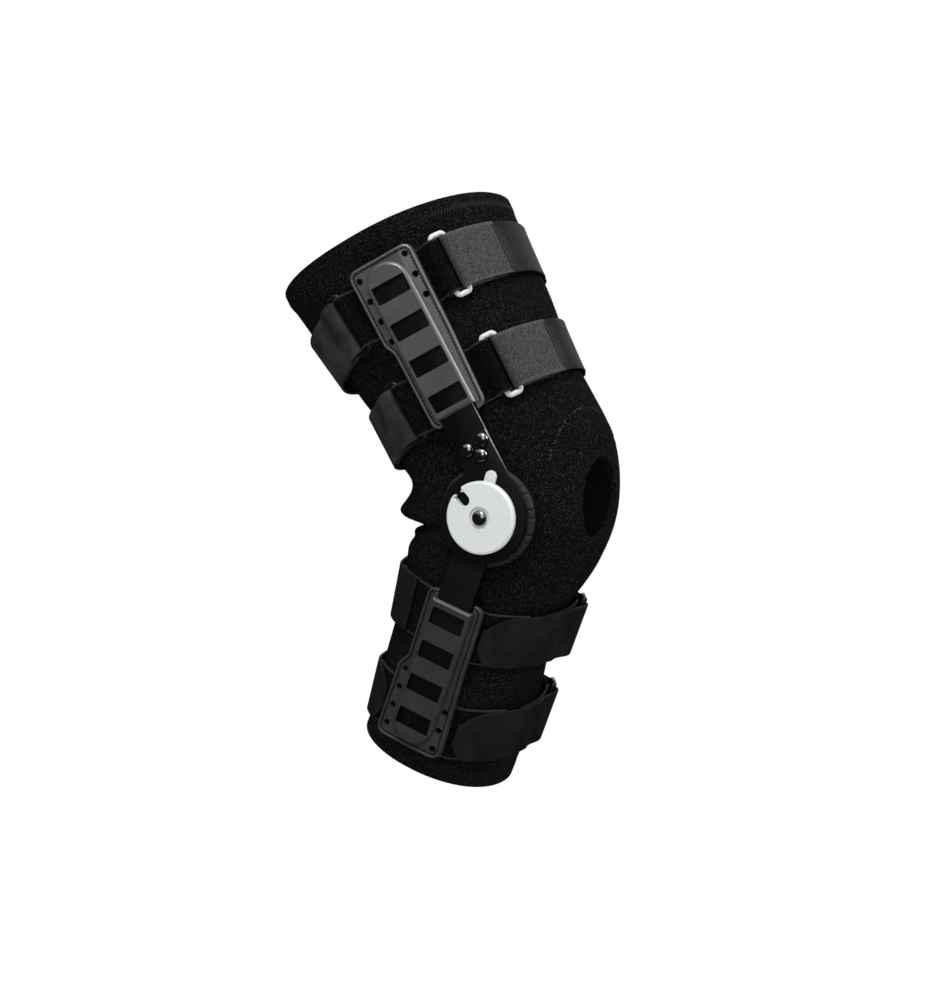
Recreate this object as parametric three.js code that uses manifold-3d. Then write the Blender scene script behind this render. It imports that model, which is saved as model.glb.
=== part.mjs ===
// Open-patella hinged knee brace in its worn form, bent as on a flexed right knee. Millimetres.
// +X is the front of the knee, -Y its outer side, +Z up. The origin is the knee centre on the hinge axis.
import * as THREE from 'three';
import { mergeVertices } from 'three/addons/utils/BufferGeometryUtils.js';
import Module from 'manifold-3d';

const wasm = await Module();
wasm.setup();
const rad = THREE.MathUtils.degToRad;

// Limb: how far thigh and shank lean from upright, and the bend of the centre line between them
const THIGH_TILT = 27;
const SHANK_TILT = -21;
const BEND_RADIUS = 135;

// Sleeve: station runs along the centre line, front, back and side are the outer half sizes there
const SLEEVE_WALL = 4;
const SECTION_POWER = 2.2;
const SLEEVE_COLUMNS = 30;
const ROW_STEP = 18;
const FOLD_ROW_STEP = 7;
const FOLD_ZONE = 36;
const FOLD_SPREAD = 1.5;
const SLEEVE_SECTIONS = [
  { station: -170, front: 56, back: 51, side: 48 },
  { station: -130, front: 57, back: 55.5, side: 49.5 },
  { station: -90, front: 51, back: 59, side: 51.5 },
  { station: -56, front: 50, back: 65, side: 52.5 },
  { station: -25, front: 68, back: 67, side: 53.5 },
  { station: 0, front: 80.5, back: 68, side: 54 },
  { station: 25, front: 85, back: 68, side: 55 },
  { station: 53, front: 80, back: 63.5, side: 57.5 },
  { station: 85, front: 78, back: 62, side: 62 },
  { station: 113, front: 80, back: 68, side: 66 },
  { station: 158, front: 80, back: 80, side: 73 },
  { station: 196, front: 81, back: 88, side: 78 },
];
// Both rims run further along the limb on the outer side: toward is the angle where they reach furthest
const RIM_REACH = [
  { rim: -170, from: -110, reach: -15, toward: 12 },
  { rim: 196, from: 150, reach: 8.5, toward: -8 },
];
// Bunched cloth behind the knee: a positive depth is a crease, a negative one a roll
const BACK_FOLDS = [
  { station: 35, depth: 5.3, width: 17.5 },
  { station: 7.5, depth: -6.8, width: 14 },
  { station: -11.5, depth: 13.5, width: 5 },
  { station: -25.5, depth: 4.3, width: 10.5 },
];
const PATELLA = { station: 5, angle: 75.5, halfWide: 17, halfTall: 28, reach: 30, sides: 28 };

// Webbing and rings: seat is the room under a band, clear the room between two layers
const SEAT = 0.9;
const CLEAR = 0.5;
const TAB = { width: 38, thick: 1.6 };
const STRAP = { width: 38, thick: 1.8 };
const TWILL = { width: 38, thick: 1.4, length: 35, tuck: 14 };
const ROUND_END = { tip: 0.4, high: 24, low: 11 };
const RING = {
  halfLong: 22, halfWide: 4.75, corner: 3.6, cornerSteps: 2, wire: 1.9, sides: 6, slack: 1, height: 5.6,
};
const LIFT_RUN = 50;
const CLIMB_HOLD = 32;
const RING_TURN = 9;
const UPRIGHT_TURN = 1.5;
const CLIMB_DONE = 190;
const GIRTH_STEPS = 720;
const THIGH_LEVELS = [
  { name: 'thigh_upper', station: 154.5, climb: 0.06, frontRing: 37.5, backRing: -17, lift: 2, dip: 10 },
  { name: 'thigh_lower', station: 83.5, climb: 0, frontRing: 38, backRing: -15.5, lift: 1, dip: 5 },
];
const CALF_LEVELS = [
  { name: 'calf_upper', station: -78, climb: 0.2, frontEnd: 23, backEnd: -30, ring: 115, roundBack: false },
  { name: 'calf_lower', station: -148, climb: 0.26, frontEnd: 25, backEnd: -31, ring: 118, roundBack: true },
];
const INNER_TAB = { front: 128, back: 226 };
const OUTER_CALF_TAB = { front: 56, back: -58 };
const STRAP_END = { front: 140, back: -146 };
// Along the webbing: how far past a bar it leaves it, the slopes beside rings and tabs, what lies between
// two stretches, and the ends that turn back under a ring
const LEAVE = 3;
const RAMP = 15;
const TAB_RAMP = 9;
const SETTLE = 8;
const TAB_TURN_BACK = 6;
const STRAP_TURN_BACK = 40;
const STEPS = { tuck: 2, ramp: 3, end: 4, middle: 6, long: 12, turn: 4 };

// Hinge: distances of each layer from the limb's middle plane
const LAYER = { pad: 56.2, lowerPlate: 61.6, upperPlate: 64, dial: 66.4 };
const PAD = { radius: 34, thick: 5, sides: 36 };
const PLATE = { thick: 2, head: 31, sides: 40 };
const DIAL = { radius: 24.5, thick: 5, bevel: 1.5, recess: 7.7, recessDepth: 1, bore: 3.4, sides: 32 };
const DIAL_TAB = { angle: 14, halfWide: 4, reach: 32.5, thick: 2, root: 20 };
const DIAL_NOTCH = { angle: -44.5, halfWide: 4, bottom: 12 };
const DIAL_RIVET = { shaft: 3, head: 5, edge: 0.6, rise: 2.4, sides: 14 };
const ARM_RIVET = { radius: 4.5, rise: 2.6, sides: 12 };
const ARM_RIVETS = [
  { x: 23.3, z: 46.6 },
  { x: 10.6, z: 44.6 },
  { x: 18.1, z: 37.4 },
];
const HINGE_CAP = { radius: 26, rise: 5, sides: 24 };
const REST = 0.3;
const DOME = { rings: 3, edge: 0.3 };
const CUT_PAST = 2;

// Splints: along runs away from the hinge, back and front are measured from the middle of the bar
const BAR = { width: 25, thick: 2, overlap: 3 };
const SHELL = {
  floor: 2.6, panel: 3, roof: 2, bossHalf: 15.5, mouthHalf: 14, flangeSlope: 8, reach: 34, corner: 4, cut: 12,
};
const CORNER_LIMIT = 0.47;
const JOIN = 1;
const WINDOW = { width: 25, tall: 12.5, corner: 1.5 };
const HOLE = { radius: 1.6, sides: 6 };
const UPPER_SPLINT = {
  turn: -THIGH_TILT, plate: LAYER.upperPlate, offset: 15.5, bend: 52, lean: 7.6, facing: 6,
  barEnd: 175, bossStart: 71, bossEnd: 182, root: PLATE.head,
  neck: [
    { along: 44, x: 3.5 },
    { along: 36, x: 2.5 },
    { along: 26, x: -2 },
    { along: 18, x: -11 },
    { along: 0, x: -11 },
  ],
  outline: [
    { along: 66, back: -20.5, front: 20.5 },
    { along: 124, back: -20.5, front: 23 },
    { along: 132, back: -24.5, front: 23.2 },
    { along: 186, back: -24, front: 24.8 },
  ],
  windows: { first: 82, pitch: 27, count: 4 },
  holes: [
    { row: 'front', x: 20, first: 150.5, pitch: 15.2, count: 3 },
    { row: 'back', x: -18.2, first: 131.7, pitch: 15.1, count: 4 },
  ],
};
const LOWER_SPLINT = {
  turn: 180 - SHANK_TILT, plate: LAYER.lowerPlate, offset: 0, bend: 40, lean: -2.7, facing: 0,
  barEnd: 162, bossStart: 65, bossEnd: 169, root: BAR.width / 2,
  neck: [{ along: 0, x: -12.5 }],
  outline: [
    { along: 59.5, back: -22, front: 21 },
    { along: 112, back: -21, front: 22 },
    { along: 119, back: -26, front: 22.5 },
    { along: 172, back: -26, front: 25 },
  ],
  windows: { first: 76.6, pitch: 25.1, count: 4 },
  holes: [
    { row: 'front', x: 18.5, first: 138, pitch: 13.7, count: 3 },
    { row: 'back', x: -19.5, first: 121.7, pitch: 13.7, count: 4 },
  ],
};

// Finishes
const PLUSH = { color: '#1b1b1d', roughness: 0.95, metalness: 0 };
const STRAP_CLOTH = { color: '#2a2a2d', roughness: 0.85, metalness: 0 };
const TWILL_CLOTH = { color: '#3b3c40', roughness: 0.8, metalness: 0 };
const SHELL_PLASTIC = { color: '#4a4b50', roughness: 0.55, metalness: 0 };
const BLACK_STEEL = { color: '#141415', roughness: 0.4, metalness: 0.7 };
const WHITE_PLASTIC = { color: '#dcdfe2', roughness: 0.4, metalness: 0 };
const RING_GREY = { color: '#b9bcc0', roughness: 0.4, metalness: 0 };
const GLOSS_BLACK = { color: '#101011', roughness: 0.2, metalness: 0.1 };
const PAD_FOAM = { color: '#2c2d30', roughness: 0.8, metalness: 0 };

// Solids from outlines, and joins and cuts between them
function solidOf(geometry) {
  const bare = geometry.clone();
  bare.deleteAttribute('normal');
  bare.deleteAttribute('uv');
  const merged = mergeVertices(bare, 1e-4);
  const vertProperties = new Float32Array(merged.attributes.position.array);
  const triVerts = new Uint32Array(merged.index.array);
  return new wasm.Manifold(new wasm.Mesh({ numProp: 3, vertProperties, triVerts }));
}

function geometryOf(solid) {
  const mesh = solid.getMesh();
  const geometry = new THREE.BufferGeometry();
  geometry.setAttribute('position', new THREE.BufferAttribute(new Float32Array(mesh.vertProperties), 3));
  geometry.setIndex(Array.from(mesh.triVerts));
  return geometry;
}

function combine(geometry, { add = [], cut = [], keep = [] }) {
  let solid = solidOf(geometry);
  for (const other of keep) solid = solid.intersect(solidOf(other));
  for (const other of add) solid = solid.add(solidOf(other));
  for (const other of cut) solid = solid.subtract(solidOf(other));
  return geometryOf(solid);
}

// Turns every face of a closed mesh outwards
function faceOut(geometry) {
  const place = geometry.attributes.position;
  const index = geometry.index.array;
  const [a, b, c] = [new THREE.Vector3(), new THREE.Vector3(), new THREE.Vector3()];
  let volume = 0;
  for (let i = 0; i < index.length; i += 3) {
    a.fromBufferAttribute(place, index[i]);
    b.fromBufferAttribute(place, index[i + 1]);
    c.fromBufferAttribute(place, index[i + 2]);
    volume += a.dot(b.cross(c));
  }
  if (volume < 0) {
    for (let i = 0; i < index.length; i += 3) {
      [index[i + 1], index[i + 2]] = [index[i + 2], index[i + 1]];
    }
  }
  return geometry;
}

// Skins a row of outlines that have equally many points. Open rows are capped: the outline's first half is
// one side of a strip and its second half the other side, read backwards.
function loft(outlines, closed) {
  const count = outlines[0].length;
  const index = [];
  const quad = (p, q, r, s) => index.push(p, q, r, p, r, s);
  const spans = closed ? outlines.length : outlines.length - 1;
  for (let i = 0; i < spans; i++) {
    const here = i * count;
    const next = ((i + 1) % outlines.length) * count;
    for (let j = 0; j < count; j++) {
      const k = (j + 1) % count;
      quad(here + j, here + k, next + k, next + j);
    }
  }
  if (!closed) {
    const end = (outlines.length - 1) * count;
    for (let j = 0; j < count / 2 - 1; j++) {
      const across = count - 1 - j;
      quad(j, across, across - 1, j + 1);
      quad(end + j, end + j + 1, end + across - 1, end + across);
    }
  }
  const geometry = new THREE.BufferGeometry();
  const points = outlines.flat().flatMap((point) => point.toArray());
  geometry.setAttribute('position', new THREE.Float32BufferAttribute(points, 3));
  geometry.setIndex(index);
  return faceOut(geometry);
}

// A closed outline through corner points, each corner rounded
function roundedShape(points, radius) {
  const shape = new THREE.Shape();
  points.forEach((point, i) => {
    const before = points[(i + points.length - 1) % points.length];
    const after = points[(i + 1) % points.length];
    const backOff = Math.min(radius, point.distanceTo(before) * CORNER_LIMIT);
    const forwardOff = Math.min(radius, point.distanceTo(after) * CORNER_LIMIT);
    const enter = point.clone().add(before.clone().sub(point).setLength(backOff));
    const leave = point.clone().add(after.clone().sub(point).setLength(forwardOff));
    if (i === 0) shape.moveTo(enter.x, enter.y);
    else shape.lineTo(enter.x, enter.y);
    shape.quadraticCurveTo(point.x, point.y, leave.x, leave.y);
  });
  shape.closePath();
  return shape;
}

// A plate whose outline lies in X and Z and whose thickness runs outwards, along -Y
function plate(shape, near, far, curveSegments = 6) {
  const depth = far - near;
  const geometry = new THREE.ExtrudeGeometry(shape, { depth, bevelEnabled: false, curveSegments });
  return geometry.rotateX(Math.PI / 2).translate(0, -near, 0);
}

function disc(radius, near, far, sides) {
  const geometry = new THREE.CylinderGeometry(radius, radius, far - near, sides);
  return geometry.translate(0, -(near + far) / 2, 0);
}

// The profile of a rounded head: from its edge at the given height up to its middle
function domeProfile(radius, edge, rise) {
  const profile = [];
  for (let i = 0; i <= DOME.rings; i++) {
    const angle = (i / DOME.rings) * (Math.PI / 2);
    const out = i === DOME.rings ? 0 : radius * Math.cos(angle);
    profile.push(new THREE.Vector2(out, edge + rise * Math.sin(angle)));
  }
  return profile;
}

function dome({ radius, rise, sides }, near) {
  const foot = [new THREE.Vector2(0, 0), new THREE.Vector2(radius, 0)];
  const profile = [...foot, ...domeProfile(radius, DOME.edge * rise, (1 - DOME.edge) * rise)];
  return new THREE.LatheGeometry(profile, sides).rotateX(Math.PI).translate(0, -near, 0);
}

function mirrored(geometry) {
  const copy = geometry.index ? geometry.clone() : mergeVertices(geometry.clone());
  copy.deleteAttribute('normal');
  copy.deleteAttribute('uv');
  return faceOut(copy.scale(1, -1, 1));
}

// The limb's centre line and the sleeve's outer surface
const HALF_BEND = rad(THIGH_TILT - SHANK_TILT) / 2;
const MID_TILT = rad(THIGH_TILT + SHANK_TILT) / 2;
const BEND_HALF_LENGTH = BEND_RADIUS * HALF_BEND;
const BEND_CENTRE = new THREE.Vector3(-Math.cos(MID_TILT), 0, -Math.sin(MID_TILT))
  .multiplyScalar(BEND_RADIUS / Math.cos(HALF_BEND));
const sectionTable = new THREE.CubicInterpolant(
  SLEEVE_SECTIONS.map((row) => row.station),
  SLEEVE_SECTIONS.flatMap((row) => [row.front, row.back, row.side]),
  3,
);

function limbFrame(station) {
  const bent = THREE.MathUtils.clamp(station, -BEND_HALF_LENGTH, BEND_HALF_LENGTH);
  const tilt = MID_TILT + bent / BEND_RADIUS;
  const ahead = new THREE.Vector3(Math.cos(tilt), 0, Math.sin(tilt));
  const up = new THREE.Vector3(-Math.sin(tilt), 0, Math.cos(tilt));
  const centre = BEND_CENTRE.clone().addScaledVector(ahead, BEND_RADIUS).addScaledVector(up, station - bent);
  return { centre, ahead, up };
}

const signedPower = (value, power) => Math.sign(value) * Math.abs(value) ** power;

function foldDepth(station, angle) {
  const atBack = Math.max(0, -Math.sin(angle)) ** FOLD_SPREAD;
  return BACK_FOLDS.reduce((sum, fold) => {
    const away = (station - fold.station) / fold.width;
    return sum + atBack * fold.depth * Math.exp(-away * away);
  }, 0);
}

// A point over the sleeve: angle runs from the outer side to the front, height stands off the surface
function sleevePoint(station, angle, height) {
  const [front, back, side] = sectionTable.evaluate(station);
  const { centre, ahead } = limbFrame(station);
  const depth = Math.sin(angle) > 0 ? front : back;
  const x = depth * signedPower(Math.sin(angle), 2 / SECTION_POWER);
  const y = -side * signedPower(Math.cos(angle), 2 / SECTION_POWER);
  const outward = new THREE.Vector2(
    signedPower(x / depth, SECTION_POWER - 1) / depth,
    signedPower(y / side, SECTION_POWER - 1) / side,
  ).normalize().multiplyScalar(height - foldDepth(station, angle));
  return centre.clone().addScaledVector(ahead, x + outward.x).setY(y + outward.y);
}

// How far a row of the sleeve is moved along the limb near a rim that isn't square to it
function rimShift(station, angle) {
  return RIM_REACH.reduce((sum, row) => {
    const share = THREE.MathUtils.clamp((station - row.from) / (row.rim - row.from), 0, 1);
    return sum + (row.reach * share * (1 + Math.cos(angle - rad(row.toward)))) / 2;
  }, 0);
}

// Sleeve with its patella opening
function sleeveGeometry() {
  const first = SLEEVE_SECTIONS[0].station;
  const last = SLEEVE_SECTIONS[SLEEVE_SECTIONS.length - 1].station;
  const stations = [];
  for (let station = first; station < last - FOLD_ROW_STEP;) {
    stations.push(station);
    station += Math.abs(station + 1) < FOLD_ZONE ? FOLD_ROW_STEP : ROW_STEP;
  }
  stations.push(last);
  const outlines = [];
  for (let column = 0; column < SLEEVE_COLUMNS; column++) {
    const angle = (2 * Math.PI * column) / SLEEVE_COLUMNS;
    const row = (station, height) => sleevePoint(station + rimShift(station, angle), angle, height);
    const outer = stations.map((station) => row(station, 0));
    const inner = stations.map((station) => row(station, -SLEEVE_WALL));
    outlines.push([...outer, ...inner.reverse()]);
  }
  const middle = sleevePoint(PATELLA.station, rad(PATELLA.angle), 0);
  const outside = sleevePoint(PATELLA.station, rad(PATELLA.angle), 1);
  const opening = new THREE.CylinderGeometry(1, 1, 2 * PATELLA.reach, PATELLA.sides);
  opening.scale(PATELLA.halfWide, 1, PATELLA.halfTall);
  const axes = new THREE.Matrix4();
  const out = outside.sub(middle).normalize();
  const across = new THREE.Vector3().crossVectors(out, new THREE.Vector3(0, 0, 1)).normalize();
  axes.makeBasis(across, out, new THREE.Vector3().crossVectors(across, out)).setPosition(middle);
  return combine(loft(outlines, true), { cut: [opening.applyMatrix4(axes)] });
}

// A strap level: arc runs round the sleeve from the outer side to the front, across runs up the limb. Bands
// are straight across: they span a hollow in the sleeve and are pushed out over a bulge. At the front an
// upright band does not follow the taper of the limb.
function strapLevel({ station, climb, climbFrom, climbTo, dip = 0, upright = false }) {
  const turn = (2 * Math.PI) / GIRTH_STEPS;
  const arcs = [0];
  for (let i = 1; i <= GIRTH_STEPS; i++) {
    const before = sleevePoint(station, (i - 1) * turn, 0);
    arcs.push(arcs[i - 1] + before.distanceTo(sleevePoint(station, i * turn, 0)));
  }
  const girth = arcs[GIRTH_STEPS];
  const arcOf = (degrees) => {
    const turns = Math.floor(degrees / 360);
    const place = ((degrees - 360 * turns) / 360) * GIRTH_STEPS;
    const low = Math.floor(place);
    const high = Math.min(low + 1, GIRTH_STEPS);
    return turns * girth + THREE.MathUtils.lerp(arcs[low], arcs[high], place - low);
  };
  const angleOf = (arc) => {
    const turns = Math.floor(arc / girth);
    const rest = arc - turns * girth;
    const high = Math.max(1, arcs.findIndex((value) => value >= rest));
    const share = (rest - arcs[high - 1]) / (arcs[high] - arcs[high - 1]);
    return turns * 2 * Math.PI + (high - 1 + share) * turn;
  };
  const riseAt = (arc) => {
    const start = arcOf(climbFrom);
    const done = arcOf(CLIMB_DONE);
    const climbed = THREE.MathUtils.clamp(arc, start, arcOf(climbTo)) - Math.max(0, start);
    const share = (done - arc) / (done - arcOf(climbTo + CLIMB_HOLD));
    const pastRing = THREE.MathUtils.clamp((start - arc) / (start - arcOf(STRAP_END.back)), 0, 1);
    const sag = dip * Math.sin(Math.PI * pastRing);
    return climb * climbed * THREE.MathUtils.clamp(share, 0, 1) - sag;
  };
  const place = (arc, across, height) => {
    const rise = riseAt(arc);
    const angle = angleOf(arc);
    const middle = sleevePoint(station + rise, angle, height);
    const low = sleevePoint(station + rise - STRAP.width / 2, angle, height);
    const high = sleevePoint(station + rise + STRAP.width / 2, angle, height);
    const outward = sleevePoint(station + rise, angle, height + 1).sub(middle);
    const { up } = limbFrame(station + rise);
    const hold = upright ? THREE.MathUtils.clamp(0.5 + UPRIGHT_TURN * Math.sin(angle), 0, 1) : 0;
    const from = low.clone().lerp(middle.clone().addScaledVector(up, -STRAP.width / 2), hold);
    const to = high.clone().lerp(middle.clone().addScaledVector(up, STRAP.width / 2), hold);
    const centre = from.clone().lerp(to, 0.5);
    const needed = [[middle, centre], [low, from], [high, to]]
      .map(([surface, band]) => surface.clone().sub(band).dot(outward));
    return from.lerp(to, 0.5 + across / STRAP.width).addScaledVector(outward, Math.max(0, ...needed));
  };
  return { arcOf, place };
}

// Paths of webbing, seen along the limb: points hold the arc and the height of the band's middle
const run = (from, to, heightFrom, heightTo, steps) => {
  const points = [];
  for (let i = 0; i <= steps; i++) {
    const share = i / steps;
    const ease = share * share * (3 - 2 * share);
    const arc = THREE.MathUtils.lerp(from, to, share);
    points.push(new THREE.Vector2(arc, THREE.MathUtils.lerp(heightFrom, heightTo, ease)));
  }
  return points;
};

// Half a turn round a ring's bar, from under it to over it, on the side that toward points to
const wrap = (arc, radius, toward) => {
  const points = [];
  for (let i = 0; i <= STEPS.turn; i++) {
    const angle = -Math.PI / 2 + (i / STEPS.turn) * Math.PI;
    const out = toward * radius * Math.cos(angle);
    points.push(new THREE.Vector2(arc + out, RING.height + radius * Math.sin(angle)));
  }
  return points;
};

// A band along a path. Its lower edge may lift off, growing from liftFrom, and its start may be rounded.
function webbing({ level, path, thick, width, lift = 0, liftFrom = 0, roundStart = false }) {
  const sides = path.map((point, i) => {
    const before = path[Math.max(0, i - 1)];
    const after = path[Math.min(path.length - 1, i + 1)];
    const normal = after.clone().sub(before).normalize();
    return new THREE.Vector2(-normal.y, normal.x).multiplyScalar(thick / 2);
  });
  const narrow = (i, column) => {
    if (!roundStart) return 1;
    const roundLength = column > 0 ? ROUND_END.high : ROUND_END.low;
    const inset = Math.max(0, 1 - Math.abs(path[i].x - path[0].x) / roundLength);
    return Math.max(ROUND_END.tip, Math.sqrt(1 - inset * inset));
  };
  const outlines = [-1, 1].map((column) => {
    const at = (i, sign) => {
      const across = (column * narrow(i, column) * width) / 2;
      const grown = THREE.MathUtils.clamp(Math.abs(path[i].x - liftFrom) / LIFT_RUN, 0, 1);
      const raise = (lift * grown * (1 - column)) / 2;
      const arc = path[i].x + sign * sides[i].x;
      return level.place(arc, across, path[i].y + sign * sides[i].y + raise);
    };
    const over = path.map((point, i) => at(i, 1));
    const under = path.map((point, i) => at(i, -1));
    return [...over, ...under.reverse()];
  });
  return loft(outlines, false);
}

// A flat, rounded rectangular wire ring whose two bars lie equally high over the sleeve
function ringGeometry(level, arc) {
  const [low, high] = [-1, 1].map((end) => level.place(arc, end * RING.halfLong, RING.height));
  const [before, after] = [-1, 1].map((bar) => level.place(arc + bar * RING.halfWide, 0, RING.height));
  const middle = before.clone().lerp(after, 0.5);
  const along = high.sub(low).normalize();
  const over = new THREE.Vector3().crossVectors(after.sub(before), along).normalize();
  const across = new THREE.Vector3().crossVectors(along, over);
  const corners = [[1, 1], [-1, 1], [-1, -1], [1, -1]];
  const outlines = [];
  corners.forEach(([long, wide], quarter) => {
    for (let i = 0; i <= RING.cornerSteps; i++) {
      const angle = (quarter + i / RING.cornerSteps) * (Math.PI / 2);
      const spine = new THREE.Vector2(
        long * (RING.halfLong - RING.corner) + RING.corner * Math.cos(angle),
        wide * (RING.halfWide - RING.corner) + RING.corner * Math.sin(angle),
      );
      const outline = [];
      for (let side = 0; side < RING.sides; side++) {
        const around = ((side + 0.5) / RING.sides) * 2 * Math.PI;
        const out = RING.wire * Math.cos(around);
        outline.push(middle.clone()
          .addScaledVector(along, spine.x + out * Math.cos(angle))
          .addScaledVector(across, spine.y + out * Math.sin(angle))
          .addScaledVector(over, RING.wire * Math.sin(around)));
      }
      outlines.push(outline);
    }
  });
  return loft(outlines, true);
}

// Splint pieces, in a frame at the hinge whose Z runs along the limb away from the hinge
const flipOf = (splint) => (splint === UPPER_SPLINT ? 1 : -1);

function bendMatrix(splint) {
  const lean = new THREE.Matrix4().makeRotationX(rad(splint.lean));
  const facing = new THREE.Matrix4().makeRotationZ(rad(splint.facing));
  const height = splint.plate + PLATE.thick / 2;
  const place = new THREE.Matrix4().makeTranslation(splint.offset, -height, splint.bend);
  return place.multiply(lean).multiply(facing);
}

function armGeometry(splint) {
  const head = disc(PLATE.head, splint.plate, splint.plate + PLATE.thick, PLATE.sides);
  const right = splint.offset + BAR.width / 2;
  const left = splint.offset - BAR.width / 2;
  const neck = new THREE.Shape([
    new THREE.Vector2(splint.root, 0),
    new THREE.Vector2(right, splint.bend),
    new THREE.Vector2(left, splint.bend),
    ...splint.neck.map((row) => new THREE.Vector2(row.x, row.along)),
  ]);
  const length = splint.barEnd - splint.bend;
  const bar = new THREE.BoxGeometry(BAR.width, BAR.thick, length + BAR.overlap);
  bar.translate(0, 0, (length - BAR.overlap) / 2).applyMatrix4(bendMatrix(splint));
  return combine(head, { add: [plate(neck, splint.plate, splint.plate + PLATE.thick), bar] });
}

function shellGeometry(splint, withHoles) {
  const flip = flipOf(splint);
  const underside = BAR.thick / 2 + CLEAR + SHELL.floor;
  const top = underside - SHELL.panel;
  const outside = -(BAR.thick / 2 + CLEAR + SHELL.roof);
  const near = splint.outline[0].along - splint.bend;
  const bossNear = splint.bossStart - splint.bend;
  const far = splint.outline[splint.outline.length - 1].along - splint.bend;
  const { reach } = SHELL;
  const drop = (reach - SHELL.bossHalf) * Math.tan(rad(SHELL.flangeSlope));
  const panelSection = new THREE.Shape([
    new THREE.Vector2(-reach, top + drop),
    new THREE.Vector2(-SHELL.bossHalf, top),
    new THREE.Vector2(SHELL.bossHalf, top),
    new THREE.Vector2(reach, top + drop),
    new THREE.Vector2(reach, underside + drop),
    new THREE.Vector2(SHELL.bossHalf, underside),
    new THREE.Vector2(-SHELL.bossHalf, underside),
    new THREE.Vector2(-reach, underside + drop),
  ]);
  const depth = far - near + 2 * CUT_PAST;
  const panel = new THREE.ExtrudeGeometry(panelSection, { depth, bevelEnabled: false });
  panel.translate(0, 0, near - CUT_PAST);
  const edge = splint.outline.map((row) => new THREE.Vector2(flip * row.front, row.along - splint.bend));
  const backEdge = splint.outline.map((row) => new THREE.Vector2(flip * row.back, row.along - splint.bend));
  const outline = [...edge, ...backEdge.reverse()];
  const blank = plate(roundedShape(outline, SHELL.corner), -2 * reach, 2 * reach, 2);
  const boss = new THREE.Shape();
  boss.moveTo(-SHELL.bossHalf, bossNear);
  boss.lineTo(SHELL.bossHalf, bossNear);
  boss.lineTo(SHELL.bossHalf, splint.bossEnd - splint.bend - SHELL.bossHalf);
  boss.absarc(0, splint.bossEnd - splint.bend - SHELL.bossHalf, SHELL.bossHalf, 0, Math.PI);
  const raised = plate(boss, -(top + JOIN), -outside, 8);
  const tunnelLength = splint.barEnd + CLEAR - splint.outline[0].along + CUT_PAST;
  const tunnel = new THREE.BoxGeometry(BAR.width + 2 * CLEAR, BAR.thick + 2 * CLEAR, tunnelLength);
  tunnel.translate(0, 0, near - CUT_PAST + tunnelLength / 2);
  const mouthLength = bossNear - near + CUT_PAST;
  const mouth = new THREE.BoxGeometry(2 * SHELL.mouthHalf, 2 * SHELL.cut, mouthLength);
  mouth.translate(0, 0, bossNear - mouthLength / 2);
  const cuts = [tunnel, mouth];
  for (let i = 0; i < splint.windows.count; i++) {
    const middle = splint.windows.first + i * splint.windows.pitch - splint.bend;
    const half = new THREE.Vector2(WINDOW.width / 2, WINDOW.tall / 2);
    const corners = [[1, -1], [1, 1], [-1, 1], [-1, -1]]
      .map(([x, z]) => new THREE.Vector2(x * half.x, middle + z * half.y));
    cuts.push(plate(roundedShape(corners, WINDOW.corner), 0, SHELL.cut, 1));
  }
  for (const row of withHoles ? splint.holes : []) {
    for (let i = 0; i < row.count; i++) {
      const along = row.first + i * row.pitch - splint.bend;
      cuts.push(disc(HOLE.radius, -SHELL.cut, SHELL.cut, HOLE.sides).translate(flip * row.x, 0, along));
    }
  }
  const body = combine(panel, { keep: [blank], add: [raised], cut: cuts });
  return body.applyMatrix4(bendMatrix(splint));
}

// What sits on the upper plate starts a little over it
const PLATE_REST = LAYER.upperPlate + PLATE.thick + REST;

// Dial: a bevelled disc with a recess round its rivet, a sight notch and a thumb tab
function dialGeometry() {
  const floor = DIAL.thick - DIAL.recessDepth;
  const profile = [
    [DIAL.bore, 0],
    [DIAL.radius, 0],
    [DIAL.radius, DIAL.thick - DIAL.bevel],
    [DIAL.radius - DIAL.bevel, DIAL.thick],
    [DIAL.recess, DIAL.thick],
    [DIAL.recess, floor],
    [DIAL.bore, floor],
    [DIAL.bore, 0],
  ].map(([radius, height]) => new THREE.Vector2(radius, height));
  const body = new THREE.LatheGeometry(profile, DIAL.sides).rotateX(Math.PI).translate(0, -LAYER.dial, 0);
  const tab = new THREE.Shape();
  const tip = DIAL_TAB.reach - DIAL_TAB.halfWide;
  tab.moveTo(-DIAL_TAB.halfWide, DIAL_TAB.root);
  tab.lineTo(DIAL_TAB.halfWide, DIAL_TAB.root);
  tab.lineTo(DIAL_TAB.halfWide, tip);
  tab.absarc(0, tip, DIAL_TAB.halfWide, 0, Math.PI);
  const notch = new THREE.Shape();
  const foot = DIAL_NOTCH.bottom + DIAL_NOTCH.halfWide;
  notch.moveTo(DIAL_NOTCH.halfWide, DIAL.radius + CUT_PAST);
  notch.lineTo(-DIAL_NOTCH.halfWide, DIAL.radius + CUT_PAST);
  notch.lineTo(-DIAL_NOTCH.halfWide, foot);
  notch.absarc(0, foot, DIAL_NOTCH.halfWide, Math.PI, 2 * Math.PI);
  const tabPlate = plate(tab, LAYER.dial, LAYER.dial + DIAL_TAB.thick).rotateY(rad(DIAL_TAB.angle));
  const through = plate(notch, LAYER.dial - CUT_PAST, LAYER.dial + DIAL.thick + CUT_PAST);
  const slot = through.rotateY(rad(DIAL_NOTCH.angle));
  return combine(body, { add: [tabPlate], cut: [slot] });
}

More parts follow.
